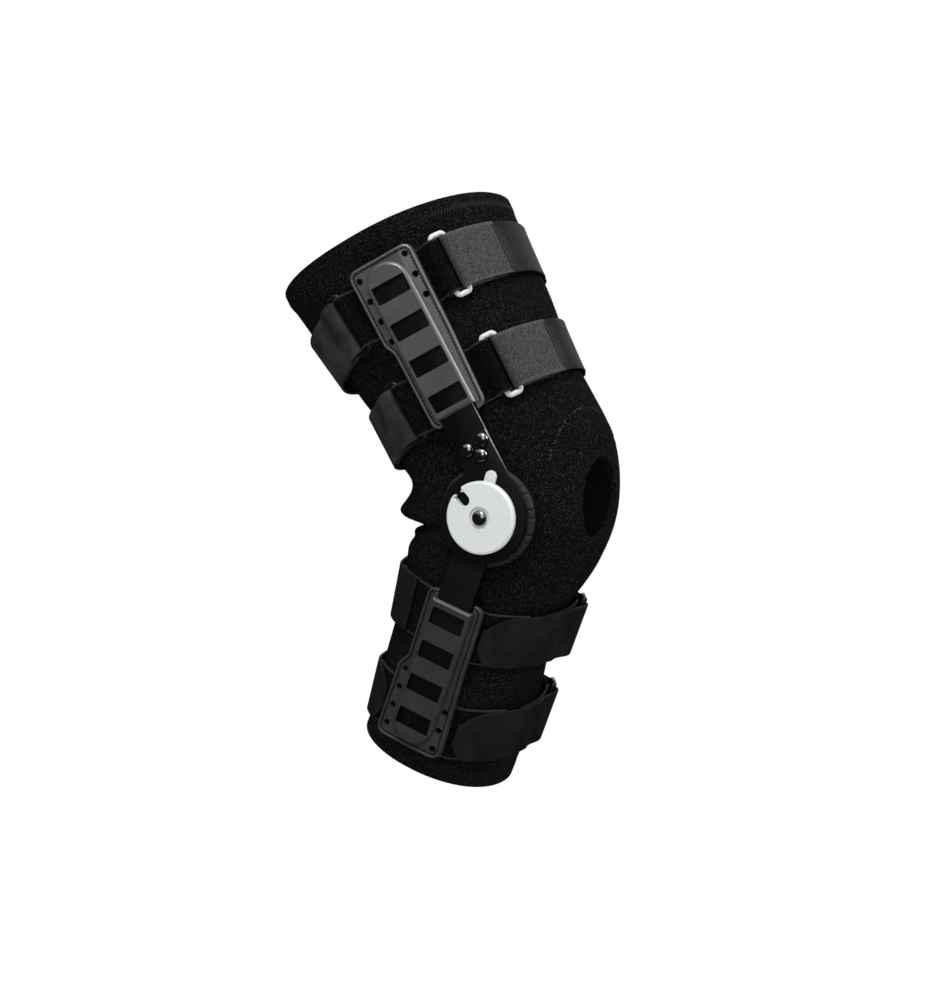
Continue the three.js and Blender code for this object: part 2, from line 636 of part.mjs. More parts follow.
function dialRivetGeometry() {
  const { shaft, head, edge, rise, sides } = DIAL_RIVET;
  const seat = LAYER.dial + DIAL.thick - DIAL.recessDepth + REST;
  const stem = [[0, PLATE_REST], [shaft, PLATE_REST], [shaft, seat], [head, seat]]
    .map(([radius, height]) => new THREE.Vector2(radius, height));
  return new THREE.LatheGeometry([...stem, ...domeProfile(head, seat + edge, rise)], sides).rotateX(Math.PI);
}

// Assembly
const brace = new THREE.Group();

function addPiece(parent, name, geometry, finish) {
  geometry.computeVertexNormals();
  const mesh = new THREE.Mesh(geometry, new THREE.MeshStandardMaterial(finish));
  mesh.name = name;
  parent.add(mesh);
}

function limbGroup(splint) {
  const group = new THREE.Group();
  group.rotation.y = rad(splint.turn);
  brace.add(group);
  return group;
}

addPiece(brace, 'sleeve', sleeveGeometry(), PLUSH);

const thigh = limbGroup(UPPER_SPLINT);
const shank = limbGroup(LOWER_SPLINT);
for (const [group, splint, place] of [[thigh, UPPER_SPLINT, 'upper'], [shank, LOWER_SPLINT, 'lower']]) {
  const arm = armGeometry(splint);
  addPiece(group, `outer_${place}_arm`, arm, BLACK_STEEL);
  addPiece(group, `inner_${place}_arm`, mirrored(arm), BLACK_STEEL);
  addPiece(group, `outer_${place}_shell`, shellGeometry(splint, true), SHELL_PLASTIC);
  addPiece(group, `inner_${place}_shell`, mirrored(shellGeometry(splint, false)), SHELL_PLASTIC);
}
ARM_RIVETS.forEach((rivet, i) => {
  const head = dome(ARM_RIVET, PLATE_REST);
  addPiece(thigh, `arm_rivet_${i + 1}`, head.translate(rivet.x, 0, rivet.z), GLOSS_BLACK);
});

const pad = disc(PAD.radius, LAYER.pad, LAYER.pad + PAD.thick, PAD.sides);
addPiece(brace, 'outer_pad', pad, PAD_FOAM);
addPiece(brace, 'inner_pad', mirrored(pad), PAD_FOAM);
addPiece(brace, 'dial', dialGeometry(), WHITE_PLASTIC);
addPiece(brace, 'dial_rivet', dialRivetGeometry(), GLOSS_BLACK);
addPiece(brace, 'inner_hinge_cap', mirrored(dome(HINGE_CAP, PLATE_REST)), GLOSS_BLACK);

// Heights of the layers over the sleeve, taken at the middle of each band
const tabHeight = SEAT + TAB.thick / 2;
const strapHeight = SEAT + STRAP.thick / 2;
const overTab = SEAT + TAB.thick + CLEAR + STRAP.thick / 2;
const overStrap = strapHeight + STRAP.thick + CLEAR;
const wrapRadius = (thick) => RING.wire + RING.slack + thick / 2;
const tabTurn = wrapRadius(TAB.thick);
const twillTurn = wrapRadius(TWILL.thick);
const strapTurn = wrapRadius(STRAP.thick);

for (const row of THIGH_LEVELS) {
  const level = strapLevel({ ...row, climbFrom: row.backRing, climbTo: row.frontRing });
  const frontRing = level.arcOf(row.frontRing);
  const backRing = level.arcOf(row.backRing);
  addPiece(brace, `front_ring_${row.name}`, ringGeometry(level, frontRing), RING_GREY);
  addPiece(brace, `back_ring_${row.name}`, ringGeometry(level, backRing), GLOSS_BLACK);

  const fromBar = backRing + RING.halfWide;
  const toBar = frontRing - RING.halfWide;
  const tabPath = [
    new THREE.Vector2(fromBar + TAB_TURN_BACK, RING.height - tabTurn),
    ...wrap(fromBar, tabTurn, -1),
    ...run(fromBar + LEAVE, fromBar + TAB_RAMP, RING.height + tabTurn, tabHeight, STEPS.ramp),
    ...run(fromBar + TAB_RAMP + SETTLE, toBar - TAB_RAMP - SETTLE, tabHeight, tabHeight, STEPS.middle),
    ...run(toBar - TAB_RAMP, toBar - LEAVE, tabHeight, RING.height + tabTurn, STEPS.ramp),
    ...wrap(toBar, tabTurn, 1).reverse(),
    new THREE.Vector2(toBar - TAB_TURN_BACK, RING.height - tabTurn),
  ];
  addPiece(brace, `outer_tab_${row.name}`, webbing({ level, path: tabPath, ...TAB }), PLUSH);

  const twillBar = frontRing + RING.halfWide;
  const seamLow = SEAT + TWILL.thick / 2;
  const strapInFold = SEAT + TWILL.thick + CLEAR + STRAP.thick / 2;
  const seamHigh = strapInFold + STRAP.thick / 2 + CLEAR + TWILL.thick / 2;
  const foldEnd = twillBar + TWILL.length;
  const foldPath = [
    ...run(foldEnd - LEAVE, twillBar + LEAVE, seamLow, RING.height - twillTurn, STEPS.end),
    ...wrap(twillBar, twillTurn, -1),
    ...run(twillBar + LEAVE, foldEnd, RING.height + twillTurn, seamHigh, STEPS.end),
  ];
  addPiece(brace, `fold_${row.name}`, webbing({ level, path: foldPath, ...TWILL }), TWILL_CLOTH);

  const tabEdge = level.arcOf(INNER_TAB.front);
  const frontPath = [
    ...run(foldEnd - TWILL.tuck, foldEnd + LEAVE, strapInFold, strapInFold, STEPS.tuck),
    ...run(foldEnd + LEAVE + SETTLE, tabEdge - RAMP - SETTLE, strapInFold, strapHeight, STEPS.long),
    ...run(tabEdge - RAMP, tabEdge - LEAVE, strapHeight, overTab, STEPS.ramp),
    ...run(tabEdge + LEAVE, level.arcOf(STRAP_END.front), overTab, overTab, STEPS.tuck),
  ];
  addPiece(brace, `front_strap_${row.name}`, webbing({ level, path: frontPath, ...STRAP }), STRAP_CLOTH);

  const backBar = backRing - RING.halfWide;
  const backPath = [
    ...run(backBar - STRAP_TURN_BACK, backBar - LEAVE, strapHeight, RING.height - strapTurn, STEPS.end),
    ...wrap(backBar, strapTurn, 1),
    ...run(backBar - LEAVE, backBar - RAMP, RING.height + strapTurn, overStrap, STEPS.ramp),
    ...run(backBar - RAMP - SETTLE, level.arcOf(STRAP_END.back), overStrap, overTab, STEPS.long),
  ];
  const backStrap = webbing({ level, path: backPath, ...STRAP, lift: row.lift, liftFrom: backBar });
  addPiece(brace, `back_strap_${row.name}`, backStrap, STRAP_CLOTH);

  const innerPath = run(tabEdge, level.arcOf(INNER_TAB.back), tabHeight, tabHeight, STEPS.long);
  addPiece(brace, `inner_tab_${row.name}`, webbing({ level, path: innerPath, ...TAB }), PLUSH);
}

for (const row of CALF_LEVELS) {
  const level = strapLevel({ ...row, climbFrom: row.frontEnd, climbTo: row.ring - RING_TURN, upright: true });
  const ring = level.arcOf(row.ring);
  addPiece(brace, `ring_${row.name}`, ringGeometry(level, ring), GLOSS_BLACK);

  const outerEnds = [level.arcOf(OUTER_CALF_TAB.back), level.arcOf(OUTER_CALF_TAB.front)];
  const outerPath = run(...outerEnds, tabHeight, tabHeight, STEPS.long);
  addPiece(brace, `outer_tab_${row.name}`, webbing({ level, path: outerPath, ...TAB }), PLUSH);

  const bar = ring - RING.halfWide;
  const legHeight = Math.max(overTab, overStrap);
  const frontEnd = level.arcOf(row.frontEnd);
  const roundEnd = frontEnd + STRAP.width / 2;
  const frontPath = [
    ...run(frontEnd, roundEnd, legHeight, legHeight, STEPS.end),
    ...run(roundEnd + SETTLE, bar - RAMP - SETTLE, legHeight, legHeight, STEPS.middle),
    ...run(bar - RAMP, bar - LEAVE, legHeight, RING.height + strapTurn, STEPS.ramp),
    ...wrap(bar, strapTurn, 1).reverse(),
    ...run(bar - LEAVE, bar - STRAP_TURN_BACK, RING.height - strapTurn, strapHeight, STEPS.end),
  ];
  const frontStrap = webbing({ level, path: frontPath, ...STRAP, roundStart: true });
  addPiece(brace, `front_strap_${row.name}`, frontStrap, STRAP_CLOTH);

  const backStart = level.arcOf(row.backEnd);
  const backRound = backStart - STRAP.width / 2;
  const innerEdge = level.arcOf(INNER_TAB.back - 360);
  const backPath = [
    ...run(backStart, backRound, overTab, overTab, STEPS.end),
    ...run(outerEnds[0], outerEnds[0] - RAMP, overTab, strapHeight, STEPS.ramp),
    ...run(outerEnds[0] - RAMP - SETTLE, innerEdge + RAMP + SETTLE, strapHeight, strapHeight, STEPS.middle),
    ...run(innerEdge + RAMP, innerEdge + LEAVE, strapHeight, overTab, STEPS.ramp),
    ...run(innerEdge - LEAVE, level.arcOf(STRAP_END.back), overTab, overTab, STEPS.tuck),
  ];
  const backStrap = webbing({ level, path: backPath, ...STRAP, roundStart: row.roundBack });
  addPiece(brace, `back_strap_${row.name}`, backStrap, STRAP_CLOTH);

  const innerBar = ring + RING.halfWide;
  const innerPath = [
    new THREE.Vector2(innerBar + TAB_TURN_BACK, RING.height - tabTurn),
    ...wrap(innerBar, tabTurn, -1),
    ...run(innerBar + LEAVE, innerBar + RAMP, RING.height + tabTurn, tabHeight, STEPS.ramp),
    ...run(innerBar + RAMP + SETTLE, level.arcOf(INNER_TAB.back), tabHeight, tabHeight, STEPS.middle),
  ];
  addPiece(brace, `inner_tab_${row.name}`, webbing({ level, path: innerPath, ...TAB }), PLUSH);
}

export default brace;
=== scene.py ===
# %% [markdown]
# # An open-patella hinged knee brace
# The brace is a black plush sleeve with two hinged splints strapped to it, kept in the bent form that it
# has when it is worn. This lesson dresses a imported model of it: every piece below stands where the model's
# own solid stands, with a finer surface, softer edges and its own finish. The frame is loaded first, as
# every later cell measures from it.

# %% Load the frame
import math

import bpy
import numpy as np
from mathutils import Matrix, Vector


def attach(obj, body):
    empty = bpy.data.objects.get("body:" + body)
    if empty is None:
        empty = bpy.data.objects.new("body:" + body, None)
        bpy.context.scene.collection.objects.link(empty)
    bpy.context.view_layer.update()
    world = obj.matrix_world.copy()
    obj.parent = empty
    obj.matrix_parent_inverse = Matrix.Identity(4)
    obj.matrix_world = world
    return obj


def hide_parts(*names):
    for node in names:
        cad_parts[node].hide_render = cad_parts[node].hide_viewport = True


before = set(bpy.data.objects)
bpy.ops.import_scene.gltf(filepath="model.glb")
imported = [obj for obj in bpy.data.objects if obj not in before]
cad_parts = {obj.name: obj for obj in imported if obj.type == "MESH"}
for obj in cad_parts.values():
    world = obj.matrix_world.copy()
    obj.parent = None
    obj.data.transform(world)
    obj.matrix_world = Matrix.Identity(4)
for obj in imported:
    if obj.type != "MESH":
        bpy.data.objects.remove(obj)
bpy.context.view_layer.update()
scene = bpy.context.scene
bpy.ops.object.select_all(action="DESELECT")
MM = 0.001
print("nodes loaded:", len(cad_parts))

# %% [markdown]
# ## Small tools for the bench
# Blender's operators act on whatever is active and selected. These helpers keep that tidy: one makes a
# single object active, one applies a modifier at once, and one hands a finished piece to the frame. Points
# are read and written as arrays, so a whole surface can be moved by one formula.


# %% Selection, modifiers and handing over
def only(obj):
    bpy.ops.object.select_all(action="DESELECT")
    obj.select_set(True)
    bpy.context.view_layer.objects.active = obj
    return obj


def named(obj, name):
    obj.name = name
    obj.data.name = name
    return obj


def modify(obj, kind, **settings):
    """Adds a modifier, sets it and applies it."""
    only(obj)
    modifier = obj.modifiers.new(kind.title(), kind)
    for key, value in settings.items():
        setattr(modifier, key, value)
    bpy.ops.object.modifier_apply(modifier=modifier.name)
    return obj


def copy_of(obj, name):
    only(obj)
    bpy.ops.object.duplicate()
    return named(bpy.context.object, name)


def clear_away(obj):
    only(obj)
    bpy.ops.object.delete()


def settled():
    """The object just added, with its place written into its mesh."""
    only(bpy.context.object)
    bpy.ops.object.transform_apply()
    return bpy.context.object


def edit(obj, *steps):
    """Runs edit-mode operators on the whole mesh, each given as a function."""
    only(obj)
    bpy.ops.object.mode_set(mode="EDIT")
    bpy.ops.mesh.select_all(action="SELECT")
    for step in steps:
        step()
    bpy.ops.object.mode_set(mode="OBJECT")
    return obj


def merge(distance=0.01 * MM):
    bpy.ops.mesh.remove_doubles(threshold=distance)


def face_out():
    bpy.ops.mesh.normals_make_consistent(inside=False)


def smooth(obj, degrees=35):
    only(obj)
    bpy.ops.object.shade_smooth_by_angle(angle=math.radians(degrees))
    return obj


def hand_over(obj, slot, *nodes, body="brace", paint=None):
    """The finished piece rides on its body, stands for its nodes and takes the paint if given; slot is not
    used.
    """
    if paint is not None:
        obj.data.materials.clear()
        obj.data.materials.append(paint)
    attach(obj, body)
    if nodes:
        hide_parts(*nodes)
    return obj


# %% Points and lengths
def points_of(obj):
    found = np.empty(len(obj.data.vertices) * 3)
    obj.data.vertices.foreach_get("co", found)
    return found.reshape(-1, 3)


def set_points(obj, points):
    obj.data.vertices.foreach_set("co", np.asarray(points, float).ravel())
    obj.data.update()


def of_faces(obj, what):
    """One vector per face, its center or its normal."""
    found = np.empty(len(obj.data.polygons) * 3)
    obj.data.polygons.foreach_get(what, found)
    return found.reshape(-1, 3)


def unit(vectors):
    return vectors / np.linalg.norm(vectors, axis=-1, keepdims=True)


def lengths_along(points):
    """The length along a row of points, at each of them."""
    steps = np.linalg.norm(np.diff(points, axis=0), axis=1)
    return np.concatenate([[0], np.cumsum(steps)])


def at_lengths(places, lengths, table):
    """The rows of a table at places between its lengths."""
    return np.stack([np.interp(places, lengths, column) for column in table.T], axis=1)


# %% [markdown]
# ## Paint by arithmetic
# A material is a small graph of nodes. Writing `speck * 0.4 + 0.1` is easier to read than three calls that
# add nodes and link them, so one class wraps a socket and turns Python's operators into Math nodes. Every
# other node is made by its `node` method.


# %% A socket with arithmetic
class Wire:
    """One output socket of a node tree."""

    def __init__(self, tree, socket=None):
        self.tree = tree
        self.socket = socket

    def node(self, kind, settings=None, inputs=None, output=0):
        made = self.tree.nodes.new(kind)
        for key, value in (settings or {}).items():
            setattr(made, key, value)
        for key, value in (inputs or {}).items():
            if isinstance(value, Wire):
                self.tree.links.new(value.socket, made.inputs[key])
            else:
                made.inputs[key].default_value = value
        return Wire(self.tree, made.outputs[output])

    def math(self, operation, *values):
        """A Math node on the given values, or on this wire alone."""
        return self.node("ShaderNodeMath", {"operation": operation}, dict(enumerate(values or (self,))))

    def __add__(self, other):
        return self.math("ADD", self, other)

    def __radd__(self, other):
        return self.math("ADD", other, self)

    def __sub__(self, other):
        return self.math("SUBTRACT", self, other)

    def __rsub__(self, other):
        return self.math("SUBTRACT", other, self)

    def __mul__(self, other):
        return self.math("MULTIPLY", self, other)

    def __rmul__(self, other):
        return self.math("MULTIPLY", other, self)

    def clamp(self, low, high):
        """Where the value lies between low and high, as a share from 0 to 1."""
        sockets = {"Value": self, "From Min": low, "From Max": high}
        return self.node("ShaderNodeMapRange", {"interpolation_type": "SMOOTHSTEP"}, sockets)

    def part(self, index):
        """One of the three numbers of a place."""
        return self.node("ShaderNodeSeparateXYZ", None, {0: self}, output=index)

    def blend(self, first, second):
        """A colour between two colours, by this value as the share."""
        mix = {"data_type": "RGBA"}
        return self.node("ShaderNodeMix", mix, {0: self, 6: first, 7: second}, output=2)


# %% Starting and feeding a paint
COOL = (1, 1, 1.02)


def grey(value, hue=COOL):
    """A neutral colour that is a touch cool, or has another hue."""
    return (*[value * share for share in hue], 1)


def start_paint(name, **uniform):
    """A new material with its uniform values set. Returns it with its shader and its coordinates."""
    paint = bpy.data.materials.new(name)
    paint.use_nodes = True
    shader = paint.node_tree.nodes["Principled BSDF"]
    for socket, value in uniform.items():
        shader.inputs[socket.replace("_", " ")].default_value = value
    wire = Wire(paint.node_tree)
    where = wire.node("ShaderNodeTexCoord", output="Object")
    laid = wire.node("ShaderNodeTexCoord", output="UV")
    return paint, shader, where, laid


def feed(shader, socket, wire):
    wire.tree.links.new(wire.socket, shader.inputs[socket])


def feed_bump(shader, height, distance, strength=1.0):
    sockets = {"Height": height, "Distance": distance, "Strength": strength}
    feed(shader, "Normal", height.node("ShaderNodeBump", None, sockets))


def noise(where, scale, detail=2.0, roughness=0.55):
    sockets = {"Vector": where, "Scale": scale, "Detail": detail, "Roughness": roughness}
    return where.node("ShaderNodeTexNoise", None, sockets)


print("bench ready")

# %% [markdown]
# ## Cloth finishes
# The sleeve and its tabs are loop plush: short black fibres that catch the light as fine grey specks. The
# straps are smooth webbing, and some turn back on themselves round a ring; the thigh back straps are painted
# paler, as painted light where more light falls on them from the left. The folded ends that hold the pale
# rings are a charcoal twill, and the inside of the sleeve is a plain jersey.
# Grain sits on Object coordinates, so it needs no seam, and weave follows each piece's own UV map.


# %% Plush, jersey, webbing, twill and thread
TAB_EDGE = (17.3 * MM, 18.3 * MM)


def plush_paint(name, light, tab=False):
    """Fibres in clumps, with specks where they catch the light. A tab has a paler woven edge."""
    paint, shader, where, laid = start_paint(name, Roughness=1.0, Specular_IOR_Level=0.01)
    fibre = noise(where, 1250, 3, 0.75)
    clump = noise(where, 240, 2)
    drift = noise(where, 26, 2)
    share = (0.6 + 0.4 * clump.clamp(0.3, 0.7)) * (0.75 + 0.4 * drift.clamp(0.3, 0.7))
    shade = fibre.clamp(0.5, 0.74) * share
    if tab:
        edge = laid.part(1).math("ABSOLUTE").clamp(*TAB_EDGE) * fibre.clamp(0.3, 0.8)
        shade = shade * 0.45 + edge * 0.9
    feed(shader, "Base Color", shade.blend(grey(0.0012), grey(light)))
    feed_bump(shader, fibre * 0.7 + clump * 0.3, 0.6 * MM, 0.5)
    return paint


def jersey_paint():
    paint, shader, where, laid = start_paint("jersey", Roughness=0.85, Specular_IOR_Level=0.12)
    wale = (laid.part(1) * 5200).math("SINE")
    feed(shader, "Base Color", noise(where, 300).blend(grey(0.005), grey(0.011)))
    feed_bump(shader, wale * 0.2 + noise(where, 1500), 0.2 * MM, 0.5)
    return paint


def strap_paint(name, dark, light):
    paint, shader, where, laid = start_paint(name, Specular_IOR_Level=0.12)
    along = laid.part(0)
    across = laid.part(1)
    rib = (along * 9000).math("SINE") * (across * 9000).math("SINE")
    cloud = noise(where, 60, 3)
    nap = noise(where, 1300, 2)
    shade = (cloud * 0.6 + nap * 0.4).clamp(0.3, 0.72)
    feed(shader, "Base Color", shade.blend(grey(dark), grey(light)))
    feed(shader, "Roughness", 0.66 + 0.16 * nap)
    feed_bump(shader, rib * 0.25 + nap * 0.5 + cloud, 0.25 * MM, 0.45)
    return paint


TWILL_PITCH = 1.5 * MM
TWILL_SLANT = 0.48
SELVEDGE = 16.6 * MM


def twill_paint():
    paint, shader, where, laid = start_paint("twill", Specular_IOR_Level=0.12)
    along = laid.part(0)
    across = laid.part(1)
    turn = 2 * math.pi / TWILL_PITCH
    wale = ((along * TWILL_SLANT - across) * turn).math("SINE")
    border = across.math("ABSOLUTE").clamp(SELVEDGE, SELVEDGE + 0.5 * MM)
    plain = (along * turn).math("SINE")
    weave = wale * (1 - border) + plain * border
    yarn = noise(where, 1300, 2)
    nub = noise(where, 620, 1)
    shade = (weave * 0.2 + yarn * 0.9 + nub * 0.9 - 0.4 + border * 0.16).clamp(0.1, 1.0)
    feed(shader, "Base Color", shade.blend(grey(0.005), grey(0.041)))
    feed(shader, "Roughness", 0.62 + 0.2 * yarn)
    feed_bump(shader, weave * 0.25 + yarn * 0.5, 0.25 * MM, 0.5)
    return paint


def thread_paint(name, dark, light):
    paint, shader, where, _ = start_paint(name, Roughness=0.65, Specular_IOR_Level=0.15)
    twist = noise(where, 2600, 1)
    feed(shader, "Base Color", twist.blend(grey(dark), grey(light)))
    feed_bump(shader, twist, 0.1 * MM, 0.6)
    return paint


plush = plush_paint("plush", 0.036)
# Paler plush for the kneecap seam's dabs: painted highlight along the raised seam.
seam_highlight_plush = plush_paint("seam_highlight_plush", 0.15)
tab_plush = plush_paint("tab_plush", 0.04, tab=True)
jersey = jersey_paint()
strap_cloth = strap_paint("strap", 0.0012, 0.0058)
# A paler copy of the webbing for the thigh back straps: painted light, where more light falls from the left.
painted_lit_strap = strap_paint("painted_lit_strap", 0.007, 0.025)
twill = twill_paint()
hem_thread = thread_paint("hem_thread", 0.0028, 0.008)
foot_thread = thread_paint("foot_thread", 0.0014, 0.004)
tack_thread = thread_paint("tack_thread", 0.012, 0.034)
black_thread = thread_paint("black_thread", 0.0015, 0.004)
print("cloth finishes:", [paint.name for paint in (plush, tab_plush, jersey, strap_cloth, twill)])

# %% [markdown]
# ## Hard finishes
# The shells are charcoal moulded plastic with a fine grain, faint scratches and a soft shine; the lower
# shell's copy is painted darker, as painted shade. The bars are steel with a black coat, and one cut edge
# is bright metal that mirrors the lamps, its colour painted to fade toward the hinge as a painted highlight
# fade. Dial and front rings are pale plastic, the rivets are polished dark metal, and the pads behind the
# hinges are dark foam. One recipe with its own greys and shine serves all that is moulded or polished.


# %% Plastic, steel and foam
def moulded_paint(name, dark, light, rough, specular, grain=2400, metallic=0.0, hue=COOL):
    paint, shader, where, _ = start_paint(name, Specular_IOR_Level=specular, Metallic=metallic)
    cloud = noise(where, 45, 3)
    mottle = noise(where, 420, 3)
    fine = noise(where, grain, 2)
    turned = {"Vector": where, "Rotation": (0, 0.5, 0), "Scale": (60, 60, 1400)}
    stretch = where.node("ShaderNodeMapping", None, turned)
    scratch = noise(stretch, 1, 1).clamp(0.74, 0.8)
    shade = cloud * 0.4 + mottle * 0.4 + scratch * 0.5
    feed(shader, "Base Color", shade.blend(grey(dark, hue), grey(light, hue)))
    feed(shader, "Roughness", rough + 0.14 * cloud - 0.07 * fine)
    feed_bump(shader, fine + scratch * 0.5, 0.06 * MM, 0.45)
    return paint


def coated_paint():
    paint, shader, where, _ = start_paint("coated_steel", Specular_IOR_Level=0.1)
    cloud = noise(where, 90, 3)
    peel = noise(where, 900, 1)
    feed(shader, "Base Color", cloud.blend(grey(0.0013), grey(0.0028)))
    feed(shader, "Roughness", 0.4 + 0.12 * cloud)
    feed_bump(shader, peel, 0.05 * MM, 0.4)
    return paint


# Where the edge metal's colour fades from dark to bright: a painted fade of the edge's highlight.
HIGHLIGHT_FADE = (22 * MM, 62 * MM)


def highlight_steel_paint():
    """Metal that mirrors the lamps; its colour fades to dark toward the hinge, a painted highlight fade."""
    paint, shader, where, _ = start_paint("highlight_steel", Metallic=1.0)
    streak = noise(where, 700, 2)
    highlight_edge = where.part(2).clamp(*HIGHLIGHT_FADE) * (0.6 + 0.4 * streak)
    feed(shader, "Base Color", highlight_edge.blend(grey(0.01), grey(0.95)))
    feed(shader, "Roughness", 0.36 + 0.2 * streak)
    feed_bump(shader, streak, 0.04 * MM, 0.4)
    return paint


def foam_paint():
    paint, shader, where, _ = start_paint("pad_foam", Specular_IOR_Level=0.2)
    cell = noise(where, 800, 3)
    feed(shader, "Base Color", cell.blend(grey(0.0042), grey(0.013)))
    feed(shader, "Roughness", 0.6 + 0.2 * cell)
    feed_bump(shader, cell, 0.25 * MM, 0.5)
    return paint


shell_plastic = moulded_paint("shell", 0.017, 0.05, 0.33, 0.8)
# The lower shell's copy of the shell plastic is painted darker: painted shade, as it faces away from the
# light.
shell_painted_shade = moulded_paint("shell_painted_shade", 0.008, 0.025, 0.38, 0.4)
white_plastic = moulded_paint("white_plastic", 0.355, 0.4, 0.34, 0.4, hue=(0.97, 1.015, 1.0))
ring_plastic = moulded_paint("ring_white", 0.28, 0.36, 0.3, 0.4)
gloss_black = moulded_paint("gloss_black", 0.13, 0.2, 0.12, 0.5, 900, metallic=1.0)
ring_black = moulded_paint("ring_black", 0.002, 0.005, 0.4, 0.25)
coated_steel = coated_paint()
highlight_steel = highlight_steel_paint()
pad_foam = foam_paint()
print("hard finishes:", [paint.name for paint in (shell_plastic, white_plastic, coated_steel, pad_foam)])

# %% [markdown]
# ## The bent limb
# The sleeve follows a centre line that is straight along the thigh, bends at the knee and is straight again
# along the shank. At each station on it the sleeve has a rounded section with its own front, back and side
# half sizes. The same formula that gives the sleeve's skin later lays every strap on it.

# %% Sizes of the sleeve
THIGH_TILT = math.radians(27)
UPPER_TURN = -27
SHANK_TILT = math.radians(-21)
BEND_RADIUS = 135 * MM
SECTION_POWER = 2.2
WALL = 4 * MM
SECTION_ROWS = [
    # station, front, back, side
    (-170, 56, 51, 48),
    (-130, 57, 55.5, 49.5),
    (-90, 51, 59, 51.5),
    (-56, 50, 65, 52.5),
    (-25, 68, 67, 53.5),
    (0, 80.5, 68, 54),
    (25, 85, 68, 55),
    (53, 80, 63.5, 57.5),
    (85, 78, 62, 62),
    (113, 80, 68, 66),
    (158, 80, 80, 73),
    (196, 81, 88, 78),
]
SECTIONS = np.array(SECTION_ROWS) * MM
FOOT, TOP = SECTIONS[0, 0], SECTIONS[-1, 0]
RIM_REACH = [
    # rim, from, reach, toward
    (FOOT, -110 * MM, -15 * MM, math.radians(12)),
    (TOP, 150 * MM, 8.5 * MM, math.radians(-8)),
]
BACK_FOLDS = [
    # station, depth, width, sway
    (35, 5.3, 17.5, 2),
    (7.5, -6.8, 14, -1.5),
    (-11.5, 13.5, 5, 1),
    (-25.5, 4.3, 10.5, 1.5),
]
FOLD_SPREAD = 1.5
HALF_BEND = (THIGH_TILT - SHANK_TILT) / 2
MID_TILT = (THIGH_TILT + SHANK_TILT) / 2
BEND_HALF_LENGTH = BEND_RADIUS * HALF_BEND
BEND_INWARD = np.array([-math.cos(MID_TILT), 0, -math.sin(MID_TILT)])
BEND_CENTRE = BEND_INWARD * BEND_RADIUS / math.cos(HALF_BEND)


# %% A point over the sleeve
def half_sizes(station):
    """Front, back and side half sizes, on cubics through the table's rows."""
    knots = SECTIONS[:, 0]
    last = len(knots) - 1
    place = np.clip(station, knots[0], knots[last])
    right = np.clip(np.searchsorted(knots, place, side="right"), 1, last)
    left = right - 1
    before = np.where(left == 0, right, left - 1)
    after = np.where(right == last, left, np.minimum(right + 1, last))
    span = knots[right] - knots[left]
    pull_left = span / 2 / (knots[left] - knots[before])
    pull_right = span / 2 / (knots[after] - knots[right])
    p = (place - knots[left]) / span
    weights = [
        (before, pull_left * (-(p**3) + 2 * p**2 - p)),
        (left, (1 + pull_left) * p**3 - (1.5 + 2 * pull_left) * p**2 - (0.5 - pull_left) * p + 1),
        (right, -(1 + pull_right) * p**3 + (1.5 + pull_right) * p**2 + 0.5 * p),
        (after, pull_right * (p**3 - p**2)),
    ]
    return sum(weight[:, None] * SECTIONS[row, 1:] for row, weight in weights).T


def limb_frame(station):
    """Centre of the limb, and the directions ahead and up the limb there."""
    bent = np.clip(station, -BEND_HALF_LENGTH, BEND_HALF_LENGTH)
    tilt = MID_TILT + bent / BEND_RADIUS
    zero = np.zeros_like(tilt)
    ahead = np.stack([np.cos(tilt), zero, np.sin(tilt)], axis=1)
    up = np.stack([-np.sin(tilt), zero, np.cos(tilt)], axis=1)
    centre = BEND_CENTRE + BEND_RADIUS * ahead + (station - bent)[:, None] * up
    return centre, ahead, up


def signed_power(value, power):
    return np.sign(value) * np.abs(value) ** power


def fold_depth(station, angle):
    at_back = np.maximum(0, -np.sin(angle)) ** FOLD_SPREAD
    depth = np.zeros_like(angle)
    for middle, deep, width, sway in BACK_FOLDS:
        away = (station - (middle + sway * np.sin(3 * angle)) * MM) / (width * MM)
        depth += deep * MM * np.exp(-away * away)
    return at_back * depth


def sleeve_point(station, angle, height):
    """Points over the sleeve: angle runs from the outer side to the front, height stands off its skin."""
    station, angle, height = np.broadcast_arrays(*map(np.atleast_1d, (station, angle, height)))
    front, back, side = half_sizes(station)
    centre, ahead, _ = limb_frame(station)
    depth = np.where(np.sin(angle) > 0, front, back)
    x = depth * signed_power(np.sin(angle), 2 / SECTION_POWER)
    y = -side * signed_power(np.cos(angle), 2 / SECTION_POWER)
    out = np.stack(
        [
            signed_power(x / depth, SECTION_POWER - 1) / depth,
            signed_power(y / side, SECTION_POWER - 1) / side,
        ]
    )
    out *= (height - fold_depth(station, angle)) / np.linalg.norm(out, axis=0)
    points = centre + (x + out[0])[:, None] * ahead
    points[:, 1] = y + out[1]
    return points


def rim_shift(station, angle):
    """How far a row of the sleeve moves along the limb near a rim that isn't square to it."""
    shift = np.zeros_like(angle)
    for rim, start, reach, toward in RIM_REACH:
        share = np.clip((station - start) / (rim - start), 0, 1)
        shift = shift + reach * share * (1 + np.cos(angle - toward)) / 2
    return shift


knee_front = sleeve_point(0.0, math.pi / 2, 0.0)[0]
print("front of the knee at", np.round(knee_front / MM, 1), "mm")

# %% [markdown]
# ## The sleeve
# A grid is the easiest start for a skin with its own formula: one direction goes round the limb, the other
# along it. The kneecap hole is an ellipse seen from its own front, so faces inside it are deleted and the
# ragged edge that is left is drawn onto the ellipse. A boolean cut would leave long thin faces there.
# Solidify then gives the wall, with jersey inside, and a bevel rounds the cut edges.

